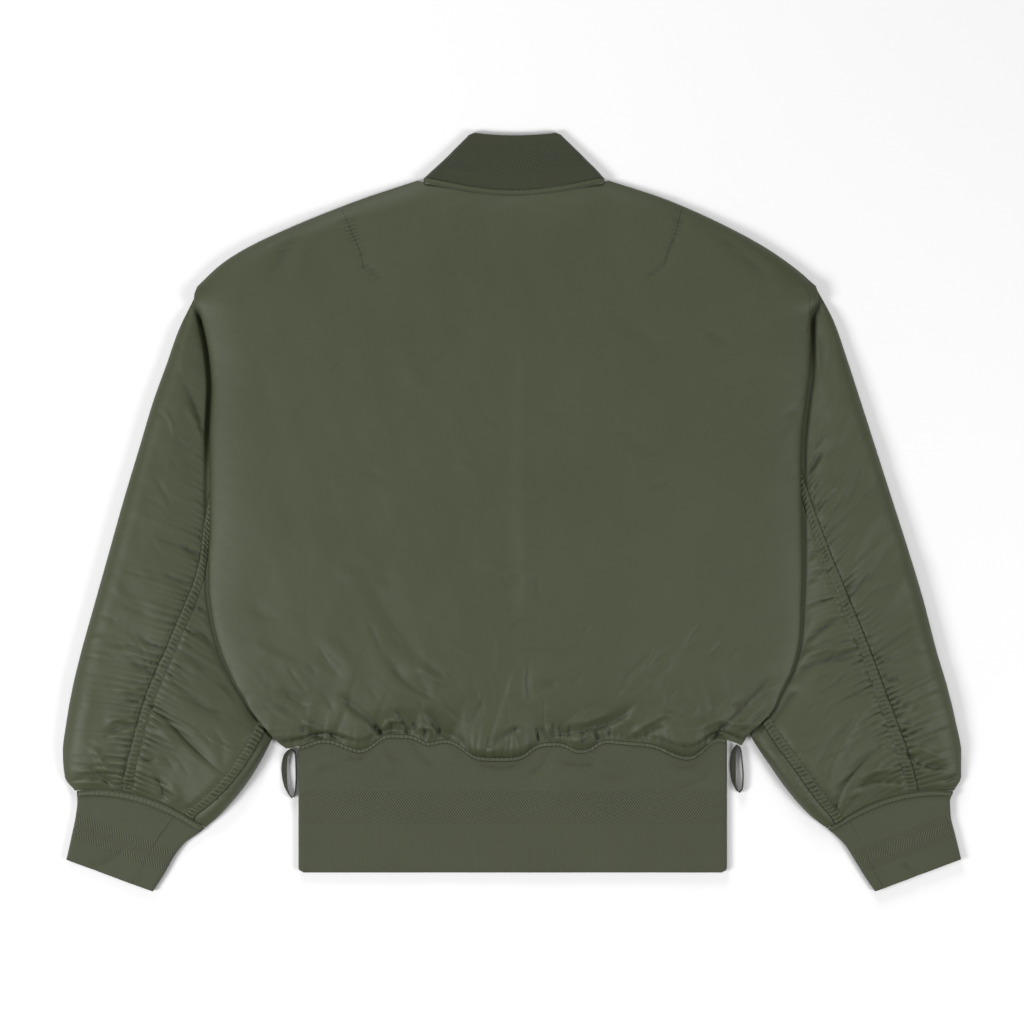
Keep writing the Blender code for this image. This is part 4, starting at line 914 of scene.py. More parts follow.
class SleeveForm:
    """A flat sleeve's shape: lines across it from the armhole to the cuff."""

    OUTER_ROLL = 22.0
    INNER_ROLL = 12.0
    UNDER_ROLL = 7.0
    SEAM_HALF = 4.2
    SEAM_FADE = 4.0      # how far beside a seam its stitches pull the cloth down
    LOW_END = 26.0       # over this height below the hem seam the body stops pressing
    FREE_FROM = 0.6      # a sleeve folds only this far above its pressed height
    FREE_OVER = 4.0      # and fully this much higher
    # the gap beside the body's edge: depth, and where it starts and ends up the back
    GAP = {Side.LEFT: (5.0, 30.0, 208.0), Side.RIGHT: (3.5, 128.0, 204.0)}
    GAP_HALF, GAP_LOW_FADE, GAP_HIGH_FADE = 5.0, 60.0, 18.0
    # directions of the gathers beside the elbow seam, degrees, at its top and at the cuff
    PULLS = {Side.LEFT: ((146, 170), (-52, -24)), Side.RIGHT: ((58, 26), (184, 212))}
    PULL_REACH = 70.0    # a gather runs at most this far along the seam
    STRIP_SIDE = 4.4     # gathers start at the strip's edge
    STRIP_FADE = 3.2     # and over this width
    BIG_SWELL = (0.7, 62.0, 0.4)      # height, spacing and seed of the cloth's swell
    SMALL_SWELL = (0.22, 19.0, 2.1)
    INSEAM_SHARE = 0.6

    def __init__(self, side: Side, count: int) -> None:
        """Works out the sleeve's lines.

        Args:
            side: which sleeve.
            count: how many lines across it.
        """
        self.side = side
        table = SLEEVE[side]
        self.step = np.linspace(0.0, 1.0, count)
        knots = np.linspace(0.0, 1.0, len(table))
        out_x, out_y, in_x, in_y, self.bow, self.loft = read(table, knots, self.step)
        self.start = np.column_stack((out_x, out_y))
        reach = np.column_stack((in_x - out_x, in_y - out_y))
        self.width = np.hypot(*reach.T)
        self.along = reach / self.width[:, None]
        up = np.column_stack((-self.along[:, 1], self.along[:, 0]))
        self.up = np.where(up[:, 1:] > 0, up, -up)
        self.length = float(np.hypot(*np.diff(self.start, axis=0).T).sum())
        self.seams = {seam: self.crossing(smooth_path(SEAMS[seam, side], 260)) for seam in Seam}
        self.seam_spots = self.plan(self.seams[Seam.ELBOW][:, None])[:, 0]
        self.seam_run = run_along(self.seam_spots)

    def crossing(self, path: Array) -> Array:
        """Where each line across the sleeve meets a seam.

        Args:
            path: points along the seam.

        Returns:
            Distances from the sleeve's outer edge.
        """
        found = []
        for i, width in enumerate(self.width):
            runs = np.linspace(0.0, width, 200)
            line = self.start[i] + self.along[i] * runs[:, None]
            share = runs / width
            line = line + self.up[i] * (self.bow[i] * 4 * share * (1 - share))[:, None]
            apart = np.hypot(line[:, None, 0] - path[None, :, 0], line[:, None, 1] - path[None, :, 1])
            found.append(runs[np.unravel_index(apart.argmin(), apart.shape)[0]])
        return soften(np.array(found), len(self.width) / 80)

    def plan(self, run: Array) -> Array:
        """Places in plan.

        Args:
            run: distances from the outer edge, one row for each line.

        Returns:
            x and y at each distance.
        """
        share = run / self.width[:, None]
        arch = self.bow[:, None] * 4 * share * (1 - share)
        return (self.start[:, None] + self.along[:, None] * run[..., None]
                + self.up[:, None] * arch[..., None])

    def top(self, run: Array) -> Array:
        """Height of the upper side, with its creases, where nothing rounds it off.

        Args:
            run: distances from the outer edge, one row for each line.

        Returns:
            The height at each distance.
        """
        spot = self.plan(run)
        x, y = spot[..., 0], spot[..., 1]
        edge = np.abs(spline(column(BODY, "y"), column(BODY, self.side.value), np.maximum(y, HEM_Y)))
        below = smooth((HEM_Y + 2 - y) / self.LOW_END)
        clear = np.maximum(0.0, np.abs(x) - edge - LOFT_START) + LOFT_BELOW * below
        pressed = LAYERS_PRESSED + SLEEVE_LOFT * (1 - np.exp(-clear / LOFT_REACH))
        height = np.minimum(self.loft[:, None], pressed)
        free = smooth((height - LAYERS_PRESSED - self.FREE_FROM) / self.FREE_OVER)
        deep, low, high = self.GAP[self.side]
        slot = np.exp(-((np.abs(x) - edge + 1.0) / self.GAP_HALF) ** 4)
        height -= (deep * slot * smooth((y - low) / self.GAP_LOW_FADE)
                   * smooth((high - y) / self.GAP_HIGH_FADE))
        shape = lifts(SLEEVE_CREASES[self.side], x, y)
        for seam in self.seams.values():
            off = np.maximum(0.0, np.abs(run - seam[:, None]) - self.SEAM_HALF)
            shape -= SEAM_SINK * np.exp(-(off / self.SEAM_FADE) ** 2)
        shape += self.gathers(run)
        for rise, size, seed in (self.BIG_SWELL, self.SMALL_SWELL):
            shape += rise * wander(x, y, size, seed + self.side.sign)
        return height + free * shape

    def gathers(self, run: Array) -> Array:
        """Gathers beside the elbow seam, and those at the cuff.

        Args:
            run: distances from the outer edge, one row for each line.

        Returns:
            The rise at each distance.
        """
        away = run - self.seams[Seam.ELBOW][:, None]
        tangent = np.gradient(self.seam_spots, axis=0)
        tangent /= np.hypot(*tangent.T)[:, None]
        offset = self.along[:, None] * away[..., None]
        total = np.zeros_like(run)
        share = smooth(self.seam_run / self.seam_run[-1])
        for flank, (high, low) in zip((-1, 1), self.PULLS[self.side]):
            turn = np.radians(high + (low - high) * share)
            pull = np.column_stack((np.cos(turn), np.sin(turn)))
            slide = cross(offset, pull[:, None]) / cross(tangent, pull)[:, None]
            along = self.seam_run[:, None] + np.clip(slide, -self.PULL_REACH, self.PULL_REACH)
            pucker = Pucker(3.4, 6.4, 8.0, 32.0, 3.0 + flank + 0.5 * self.side.sign)
            total += np.where(away * flank > 0, pucker.lift(along, np.abs(away)), 0.0)
        total *= smooth((np.abs(away) - self.STRIP_SIDE) / self.STRIP_FADE)
        seam_gather = Pucker(0.8, 9.0, 5.0, 12.0, 7.0 + self.side.sign)
        inner_off = np.abs(run - self.seams[Seam.INSEAM][:, None])
        total += self.INSEAM_SHARE * seam_gather.lift(self.seam_run[:, None] + 0.0 * run, inner_off)
        below = (1.0 - self.step)[:, None] * self.length
        cuff_gather = Pucker(3.0, 8.6, 6.0, 15.0, 11.0 + self.side.sign)
        total += cuff_gather.lift(run + 0.25 * below, below + 2.0)
        return total

    def points(self, run: Array, height: Array) -> Array:
        """Places in plan with their heights."""
        return np.concatenate((self.plan(run), height[..., None]), axis=2)


@dataclass
class Sleeve:
    """One sleeve: the wide piece round its outer edge, the narrow one behind, and their seams."""

    side: Side
    rows: int = 290
    floor_share: float = 0.5
    strip_lap: float = 0.9
    form: SleeveForm = field(init=False)

    def __post_init__(self) -> None:
        """Works out the sleeve's lines."""
        self.form = SleeveForm(self.side, self.rows)

    def floor(self, run: Array) -> Array:
        """Height of the side that lies on the floor: a few shallow hollows."""
        spot = self.form.plan(run)
        rise = self.floor_share * np.abs(lifts(SLEEVE_CREASES[self.side], spot[..., 0], spot[..., 1]))
        within = inside(run, 0.0, self.form.width[:, None], 12.0, 14.0)
        return rise * within * smooth((1.0 - self.form.step)[:, None] * 30.0)

    def wide_grid(self) -> Array:
        """Points of the wide piece, from the elbow seam round the floor side to the inner seam."""
        form = self.form
        outer, inner, under = form.OUTER_ROLL, form.INNER_ROLL, form.UNDER_ROLL
        width = form.width[:, None]
        joint = form.seams[Seam.ELBOW][:, None] - form.SEAM_HALF - SEAM_GAP
        parts = []
        run = joint + (outer - joint) * np.linspace(0.0, 1.0, 42)[None, :-1]
        parts.append(form.points(run, form.top(run)))
        turn = rounded(90, 0, 10)
        run = outer * (1 - np.cos(turn)) + 0.0 * width
        parts.append(form.points(run, NOSE + (form.top(run) - NOSE) * np.sin(turn)))
        turn = rounded(0, 90, 6)
        run = under * (1 - np.cos(turn)) + 0.0 * width
        parts.append(form.points(run, NOSE * (1 - np.sin(turn)) + 0.0 * width))
        run = under + (width - 2 * under) * np.linspace(0.0, 1.0, 26)[None, :-1]
        parts.append(form.points(run, self.floor(run)))
        turn = rounded(90, 0, 6)
        run = width - under * (1 - np.cos(turn))
        parts.append(form.points(run, NOSE * (1 - np.sin(turn)) + 0.0 * width))
        turn = rounded(0, 90, 8)
        run = width - inner * (1 - np.cos(turn))
        parts.append(form.points(run, NOSE + (form.top(run) - NOSE) * np.sin(turn)))
        end = form.seams[Seam.INSEAM][:, None] + form.SEAM_HALF + SEAM_GAP
        first = np.maximum(width - inner, end + 1.0)
        run = first + (end - first) * np.linspace(0.0, 1.0, 9)[None, :]
        parts.append(form.points(run, form.top(run)))
        return np.concatenate(parts, axis=1)

    def narrow_grid(self) -> Array:
        """Points of the narrow piece between the elbow seam and the inner seam."""
        form = self.form
        first = form.seams[Seam.ELBOW][:, None] - form.SEAM_HALF + SEAM_GAP
        end = form.seams[Seam.INSEAM][:, None] + form.SEAM_HALF - SEAM_GAP
        run = first + (end - first) * np.linspace(0.0, 1.0, 56)[None, :]
        return form.points(run, form.top(run))

    def strip_base(self, seam: Seam, count: int, columns: int) -> Array:
        """Points on the sleeve along one of its seams.

        Args:
            seam: which seam.
            count: points along the seam.
            columns: points across it.

        Returns:
            A grid that follows the seam.
        """
        form = SleeveForm(self.side, count)
        half = form.SEAM_HALF + self.strip_lap
        run = form.seams[seam][:, None] + np.linspace(-half, half, columns)[None, :]
        return outwards(self.side, form.points(run, soften_grid(form.top(run), 1.2)))


@dataclass
class Body:
    """The back with its folded sides, and the two fronts on the floor."""

    centre_columns: int = 270
    flap_columns: int = 12
    fine_rows: int = 68
    fine_top: float = -104.0
    plain_rows: int = 116
    low_swell: Triple = (0.8, 96.0, 1.3)       # height, spacing and seed, over the lower back
    swells: tuple[Triple, ...] = ((0.35, 41.0, 0.2), (0.12, 15.0, 5.0))

    def levels(self) -> Array:
        """Heights up the back of its rows of points, closer together over the hem."""
        low = np.linspace(HEM_Y, self.fine_top, self.fine_rows)[:-1]
        return np.concatenate((low, np.linspace(self.fine_top, NECK_Y, self.plain_rows)))

    @staticmethod
    def hem_offset(x: Array) -> Array:
        """How far the gathered hem seam lies above its mean line."""
        knots = column(HEM_WAVE, "x")
        at = np.arange(knots[0], knots[-1] + 1.0)
        return np.interp(x, at, soften(spline(knots, column(HEM_WAVE, "y"), at), 5.0)) - HEM_Y

    @staticmethod
    def hem_share(y: Array) -> Array:
        """How much of the hem's wave a level takes."""
        return np.maximum(0.0, 1 - (y - HEM_Y) / HEM_WAVE_REACH) ** 1.5

    @staticmethod
    def neck_offset(y: Array, left: Array, right: Array, x: Array) -> Array:
        """How far the neckline's dip draws the rows down.

        Args:
            y: the rows' heights.
            left: the body's left edge there.
            right: its right edge.
            x: places across the rows.

        Returns:
            The drop at each place.
        """
        share = np.maximum(0.0, 1 - (NECK_Y - y) / NECK_DIP_REACH)
        across = (x - 0.5 * (left + right)) / (0.5 * (right - left))
        return share * NECK_DIP * (1 - np.minimum(1, across ** 2))

    def back_grid(self, rest: Callable[[Array, Array], Array]) -> Array:
        """Points of the back from its left hidden seam over the top to the right one.

        Args:
            rest: gives the height of what lies on the floor at places in plan.

        Returns:
            The grid of points.
        """
        y = self.levels()
        at = dict(zip(BodyLevel._fields, read(BODY, column(BODY, "y"), y)))
        halves = {side: self.side_points(side, y, at, rest) for side in Side}
        left, right = halves[Side.LEFT], halves[Side.RIGHT][:, ::-1]
        share = np.linspace(0.0, 1.0, self.centre_columns + 2)[None, 1:-1]
        first, last = left[:, -1:, 0], right[:, :1, 0]
        x = np.concatenate((left[..., 0], first + (last - first) * share, right[..., 0]), axis=1)
        top = at["top"][:, None]
        middle = top
        for side_top, away in ((left[:, -1:, 1], share), (right[:, :1, 1], 1 - share)):
            middle = middle + (side_top - top) * np.exp(-(away * (last - first) / SIDE_LIFT_REACH) ** 2)
        z = np.concatenate((left[..., 1], middle, right[..., 1]), axis=1)
        rows = y[:, None] + self.hem_share(y)[:, None] * self.hem_offset(x)
        rows = rows - self.neck_offset(y[:, None], at["left"][:, None], at["right"][:, None], x)
        edge = left.shape[1] - self.flap_columns
        place = np.arange(x.shape[1])
        turn = np.minimum(place - self.flap_columns, x.shape[1] - 1 - self.flap_columns - place)
        over = smooth(turn / edge)[None, :]
        fade = smooth((at["top"] - BAND_HEIGHT)[:, None] / 4.0) * smooth((NECK_Y + 5 - rows) / 22)
        z = z + over * fade * self.relief(x, rows, (y - HEM_Y)[:, None])
        return np.stack((x, rows, z), axis=2)

    def relief(self, x: Array, y: Array, above: Array) -> Array:
        """The creases, gathers and swells of the back.

        Args:
            x: places across the back.
            y: places up it.
            above: each row's height above the hem seam.

        Returns:
            The rise at each place.
        """
        bag = np.maximum(0.0, 1 - above / GATHER_REACH) * smooth(above / 3)
        rise = lifts(BACK_CREASES, x, y) - HEM_GATHER * self.hem_offset(x) * bag
        rise += self.hem_gathers(x, above)
        height, spacing, seed = self.low_swell
        rise += height * wander(x, y, spacing, seed) * smooth((120.0 - y) / 200)
        rise -= self.corner_fall(x, y)
        for height, spacing, seed in self.swells:
            rise += height * wander(x, y, spacing, seed)
        return rise

    @staticmethod
    def corner_fall(x: Array, y: Array) -> Array:
        """How far the back falls away towards its two lower corners."""
        start, reach = Spot(100.0, 30.0), Spot(170.0, 190.0)
        fall = CORNER_FALL * smooth((np.abs(x) - start.x) / reach.x) * smooth((start.y - y) / reach.y)
        middle, half = Spot(0.0, -40.0), Spot(190.0, 170.0)
        return fall - MIDDLE_RISE * np.exp(-((x - middle.x) / half.x) ** 2
                                           - ((y - middle.y) / half.y) ** 2)

    def hem_gathers(self, x: Array, above: Array) -> Array:
        """Gathers that run up from the hem seam, fanning out from the middle."""
        fine, coarse = Pucker(2.4, 8.3, 5.0, 17.0, 0.7), Pucker(2.0, 23.0, 12.0, 42.0, 4.4)
        outward = above * np.sign(x)
        return fine.lift(x + 0.16 * outward, above + 2.0) + coarse.lift(x + 0.35 * outward, above)

    def side_points(self, side: Side, y: Array, at: dict[str, Array],
                    rest: Callable[[Array, Array], Array]) -> Array:
        """Flap, folded edge and rounded side of the body.

        Args:
            side: which side.
            y: heights of the rows.
            at: the body's table at those heights.
            rest: gives the height of what lies on the floor at places in plan.

        Returns:
            Rows of (x, z) from the hidden seam up to the back's level part.
        """
        edge, seam = at[side.value], at["seam_" + side.value]
        inward = -side.sign
        flap = np.abs(seam - edge)
        under = np.minimum(FLAP_ROLL, FLAP_ROLL_SHARE * flap)
        table = SLEEVE[side]
        sleeve_edge = spline(-column(table, "in_y"), np.abs(column(table, "in_x")), -y)
        free = np.where(y < SIDE_SEAM_TOP, (sleeve_edge - STEP_IN - np.abs(seam)) / (flap - under), 0.2)
        step = np.clip(free, 0.05, 0.8)
        keys = np.column_stack((0.0 * step, step, 0.5 * (1 + step), np.ones_like(step)))
        key_x = seam[:, None] - inward * keys * (flap - under)[:, None]
        key_y = (y[:, None] + self.hem_share(y)[:, None] * self.hem_offset(key_x)
                 - self.neck_offset(y[:, None], at["left"][:, None], at["right"][:, None], key_x))
        rests = rest(key_x, key_y)
        rests[:, 1] = rests[:, 1:].max(axis=1)
        rests = np.where(rests > 0, rests + LAY_GAP, 0.0)
        rests[y < SIDE_SEAM_TOP, 0] = 0.0
        rests = np.maximum(rests, soften_grid(rests, 1.5))
        nose = rests[:, 3] + WALL + FOLD_AIR
        top = np.maximum(at["top"], nose + WALL + FOLD_AIR)
        top = np.where(y > HEM_Y + 0.5, top, at["top"])
        roll = HEM_ROLL + (SIDE_ROLL - HEM_ROLL) * np.minimum(1.0, (y - HEM_Y) / ROLL_GROWTH)
        shares = np.linspace(0.0, 1.0, self.flap_columns + 1)[:-1]
        flap_x = seam[:, None] - inward * shares * (flap - under)[:, None]
        flap_z = np.array([np.interp(shares, keys[i], rests[i]) for i in range(len(y))])
        turn = rounded(90, 0, 8)
        fold_x = edge[:, None] + inward * under[:, None] * (1 - np.cos(turn))
        fold_z = nose[:, None] - (nose - rests[:, 3])[:, None] * np.sin(turn)
        turn = np.radians(np.linspace(0, 90, 19))
        side_x = edge[:, None] + inward * roll[:, None] * (1 - np.cos(turn))
        side_z = nose[:, None] + (top - nose)[:, None] * np.sin(turn)
        return np.stack((np.concatenate((flap_x, fold_x, side_x), axis=1),
                         np.concatenate((flap_z, fold_z, side_z), axis=1)), axis=2)

    def front_grid(self, side: Side) -> Array:
        """Points of one front's floor side.

        Args:
            side: which front.

        Returns:
            The grid, from the zip edge to the side seam.
        """
        y = np.linspace(HEM_Y, NECK_Y - 10.0, 120)
        seam = np.abs(spline(column(BODY, "y"), column(BODY, "seam_" + side.value), y)) - SEAM_GAP
        low = COLLAR[0]
        rise = np.clip((y - low.front_y) / (low.left_y - low.front_y), 0.0, 1.0)
        side_neck = abs(getattr(low, side.value)) - low.height / 2 + 1.5 * SEAM_GAP
        start = ZIP_HALF + (side_neck - ZIP_HALF) * rise
        keep = seam - start > 2.0
        y, seam, start = y[keep], seam[keep], start[keep]
        share = np.linspace(0.0, 1.0, 64)[None, :] ** 1.2
        across = start[:, None] + (seam - start)[:, None] * share
        x = side.sign * across
        lift = zip_lift(y)[:, None] * np.maximum(0.0, 1 - (start - ZIP_HALF) / ZIP_CHANNEL[1])[:, None]
        flat = 1 - smooth((across - ZIP_CHANNEL[0]) / (ZIP_CHANNEL[1] - ZIP_CHANNEL[0]))
        left, right = (spline(column(BODY, "y"), column(BODY, name), y) for name in ("left", "right"))
        drop = self.neck_offset(y, left, right, side.sign * seam)
        rows = (y[:, None] + self.hem_share(y)[:, None] * self.hem_offset(x)
                - drop[:, None] * (across - start[:, None]) / (seam - start)[:, None])
        folds = np.abs(lifts(FRONT_CREASES, across + 6.0 * (side is Side.LEFT), rows))
        margin = smooth((seam[:, None] - across) / 20) * smooth((across - ZIP_CHANNEL[1]) / 16)
        return np.stack((x, rows, lift * flat + folds * margin), axis=2)


def zip_lift(y: Array) -> Array:
    """How far the front edges rise for the zip, from the hem up to the slider."""
    return ZIP_RISE * smooth((y - HEM_Y - ZIP_RISE_START) / ZIP_RISE_LENGTH)


# ---------------------------------------------------------------- knitted bands
def knitted(z: Array, height: Array | float, shape: Array, end: Array) -> Array:
    """The heights of a flat rib band with its relief.

    Args:
        z: the smooth band's heights.
        height: height of its upper side.
        shape: the upper side's relief.
        end: 1 at the free edge, falling to 0 away from it.

    Returns:
        The finished heights.
    """
    upper = np.where(z > UPPER_SIDE * height, shape - FREE_EDGE_FALL * end, 0.0)
    return z + upper + np.where(z < FLOOR_SIDE, FREE_EDGE_RISE * end, 0.0)


@dataclass
class HemBand:
    """The rib hem: one band from zip edge to zip edge, pressed flat."""

    rows: int = 56
    corner: float = 5.0
    corner_reach: float = 7.0
    edge_reach: float = 2.2
    crease_share: float = 2.9

    def grid(self) -> Array:
        """Points of the band from its lower edge up to the gathered seam."""
        half = BAND_HEIGHT / 2
        floor = np.linspace(ZIP_HALF, -BAND_LEFT - half, 36)[:-1]
        turn = rounded(-90, 90, 8)
        top = np.linspace(BAND_LEFT + half, BAND_RIGHT - half, 172)
        fold_x, fold_z = half * (1 - np.cos(turn)), half + half * np.sin(turn)
        x = np.concatenate((-floor, BAND_LEFT + fold_x, top, (BAND_RIGHT - fold_x)[::-1],
                            floor[::-1] + BAND_RIGHT + BAND_LEFT))
        z = np.concatenate((0 * floor, fold_z, 0 * top + BAND_HEIGHT, fold_z[::-1], 0 * floor))
        x[-1] = ZIP_HALF
        down = (HEM_Y - HEM_BOTTOM_Y) * np.linspace(1.0, 0.0, self.rows)[:, None]
        first, last = BODY[0].left + HEM_ROLL, BODY[0].right - HEM_ROLL
        gap = np.where((x >= first) & (x <= last), SEAM_GAP, CORNER_GAP)
        share = np.maximum(0.0, 1 - down / BAND_WAVE_REACH)
        y = HEM_Y - down - gap * (1 - down / (HEM_Y - HEM_BOTTOM_Y)) + share * Body.hem_offset(x)
        left_over = (HEM_Y - HEM_BOTTOM_Y) - down
        cut = self.corner - np.sqrt(np.maximum(0.0, self.corner ** 2
                                               - np.maximum(0.0, self.corner - left_over) ** 2))
        x = (x + cut * np.exp(-(x - BAND_LEFT) / self.corner_reach)
             - cut * np.exp(-(BAND_RIGHT - x) / self.corner_reach))
        shape = self.crease_share * lifts(BAND_CREASES, x, y) + 0.5 * wander(x, y, 70.0, 3.0)
        shape = shape * inside(x, BAND_LEFT, BAND_RIGHT, 6.0, 14.0) * smooth(down / 8)
        z = knitted(z[None, :], BAND_HEIGHT, shape, np.exp(-(left_over / self.edge_reach) ** 2))
        return np.stack((x, y, z), axis=2)

    def strip_base(self) -> Array:
        """Points along the stitched strip below the gathered seam."""
        x = np.linspace(BAND_LEFT + 2, BAND_RIGHT - 2, 380)[None, :]
        down = np.linspace(4.6, -0.9, 7)[:, None]
        y = HEM_Y - down - SEAM_GAP + Body.hem_offset(x)
        z = BAND_HEIGHT + 0.0 * (x + down)
        return np.stack(np.broadcast_arrays(x, y, z), axis=2)


@dataclass
class Cuff:
    """A rib cuff: a closed tube, pressed flat."""

    side: Side
    rows: int = 44
    edge_reach: float = 0.14
    crease_share: float = 1.4

    def plan(self, level: Array, share: Array) -> Array:
        """Places in plan.

        Args:
            level: place down the cuff's table, 0 at its seam.
            share: place across it, 0 at its outer edge.

        Returns:
            x and y at each place.
        """
        table = CUFF[self.side]
        out_x, out_y, in_x, in_y, bow = read(table, np.arange(len(table)), level)
        x = out_x + (in_x - out_x) * share
        y = out_y + (in_y - out_y) * share + bow * 4 * share * (1 - share)
        return np.stack((x, y - CUFF_SEAM_DROP * np.maximum(0.0, 1 - level)), axis=-1)

    def grid(self) -> Array:
        """Points once round the cuff, from its folded edge up to its seam."""
        half = 0.5 * CUFF_HEIGHT
        level = np.linspace(len(CUFF[self.side]) - 1, 0.0, self.rows)[:, None]
        ends = self.plan(level[:, 0], 0.0 * level[:, 0]), self.plan(level[:, 0], 1 + 0.0 * level[:, 0])
        inset = half / np.hypot(*(ends[1] - ends[0]).T)[:, None]
        top = np.linspace(0.0, 1.0, 50)[None, :]
        turn = rounded(90, -90, 8)[None, 1:]
        under = np.linspace(1.0, 0.0, 26)[None, :]
        share = np.concatenate((inset + (1 - 2 * inset) * top, 1 - inset * (1 - np.cos(turn)),
                                inset + (1 - 2 * inset) * under,
                                inset * (1 - np.cos(turn))), axis=1)
        share = np.concatenate((share, share[:, :1]), axis=1)
        round_z = half + half * np.sin(turn[0])
        z = np.concatenate((0 * top[0] + CUFF_HEIGHT, round_z, 0 * under[0], round_z[::-1], [CUFF_HEIGHT]))
        spot = self.plan(level + 0.0 * share, share)
        x, y = spot[..., 0], spot[..., 1]
        shape = self.crease_share * lifts(CUFF_CREASES[self.side], x, y) + 0.3 * wander(x, y, 48.0, 1.0)
        shape = shape * inside(share, 0.0, 1.0, 0.06, 0.12) * smooth(level / 0.8)
        end = np.exp(-((level - level[0]) / self.edge_reach) ** 2)
        z = knitted(z[None, :], CUFF_HEIGHT, shape, end)
        return outwards(self.side, np.stack((x, y, z), axis=2))

    def strip_base(self) -> Array:
        """Points along the narrow stitched strip where the sleeve joins."""
        share = np.linspace(0.004, 0.996, 120)[None, :]
        level = np.linspace(0.52, 0.0, 6)[:, None]
        spot = self.plan(level + 0.0 * share, share + 0.0 * level)
        spot[..., 1] += STRIP_LAP * np.maximum(0.0, 1 - level / 0.2)
        edge = np.minimum(share, 1 - share) * CUFF_WIDTH / (0.5 * CUFF_HEIGHT)
        z = 0.5 * CUFF_HEIGHT * (1 + np.sqrt(1 - np.maximum(0.0, 1 - edge) ** 2)) + 0.0 * level
        return outwards(self.side, np.concatenate((spot, z[..., None]), axis=2))

    def seam_line(self) -> Array:
        """Points down the seam that closes the knit into a tube."""
        ends = {Side.LEFT: (0.79, 0.76), Side.RIGHT: (0.84, 0.90)}[self.side]
        level = np.linspace(0.55, len(CUFF[self.side]) - 1.05, 60)
        share = ends[0] + (ends[1] - ends[0]) * level / level[-1]
        spot = self.plan(level, share)
        shape = self.crease_share * lifts(CUFF_CREASES[self.side], spot[:, 0], spot[:, 1])
        return np.column_stack((spot, CUFF_HEIGHT + shape))


@dataclass
class Collar:
    """The rib collar, pressed flat: its back lies on its two front ends."""

    rows: int = 46
    edge_reach: float = 0.12

    def back(self, level: Array, share: Array) -> tuple[Array, Array, Array]:
        """Places on the back of the collar, with their heights.

        Args:
            level: place up the collar's table, 0 at the neck seam.
            share: place across it, 0 at its left fold.

        Returns:
            x, y and z at each place.
        """
        left, left_y, right, _, back_y, _, height = read(COLLAR, np.arange(len(COLLAR)), level)
        x = left + height / 2 + (right - left - height) * share
        across = (x - 0.5 * (left + right)) / (0.5 * (right - left))
        return x, back_y + (left_y - back_y) * np.minimum(1.0, across ** 2), height + 0.0 * share

    def grid(self) -> Array:
        """Points from the left front end round the back to the right one."""
        level = np.linspace(0.0, len(COLLAR) - 1, self.rows)[:, None]
        left, left_y, right, right_y, _, front_y, height = read(COLLAR, np.arange(len(COLLAR)), level)
        half = height / 2
        floor = np.linspace(0.0, 1.0, 22)[None, :-1]
        turn = rounded(-90, 90, 8)[None, :]
        left_floor = (-ZIP_HALF + (left + half + ZIP_HALF) * floor,
                      front_y + (left_y - front_y) * floor, 0 * half * floor)
        left_fold = (left + half * (1 - np.cos(turn)), left_y + 0 * turn, half * (1 + np.sin(turn)))
        back = self.back(level, np.linspace(0.0, 1.0, 78)[None, :])
        right_fold = (right - half * (1 - np.cos(turn[:, ::-1])), right_y + 0 * turn,
                      half * (1 + np.sin(turn[:, ::-1])))
        back_floor = floor[:, ::-1]
        right_floor = (ZIP_HALF + (right - half - ZIP_HALF) * back_floor,
                       front_y + (right_y - front_y) * back_floor, 0 * half * back_floor)
        x, y, z = (np.concatenate(part, axis=1)
                   for part in zip(left_floor, left_fold, back, right_fold, right_floor))
        shape = lifts(COLLAR_CREASES, x, y) + 0.25 * wander(x, y, 55.0, 2.0)
        shape = shape * inside(x, left, right, 6.0, 10.0) * smooth(level / 0.7)
        z = knitted(z, height, shape, np.exp(-((len(COLLAR) - 1 - level) / self.edge_reach) ** 2))
        return np.stack((x, y, z), axis=2)

    def strip_base(self) -> Array:
        """Points along the narrow stitched strip above the neck seam."""
        beyond, low, tall, narrower, back_fall, down_fall = 0.035, 0.02, 0.54, 0.38, 0.2, 0.06
        share = np.linspace(-beyond, 1.0 + beyond, 176)[None, :]
        row = np.linspace(0.0, 1.0, 7)[:, None]
        near_end = np.minimum(1.0, np.abs(2 * share - 1)) ** 4
        x, y, z = np.broadcast_arrays(*self.back(low + row * (tall - narrower * near_end), share))
        past = np.maximum(0.0, np.maximum(-share, share - 1.0)) * (COLLAR[0].right - COLLAR[0].left)
        y = y - (STRIP_LAP + NECK_LAP * near_end) * np.maximum(0.0, 1 - 3 * row) - back_fall * past
        return np.stack((x, y, z - down_fall * past ** 2), axis=2)


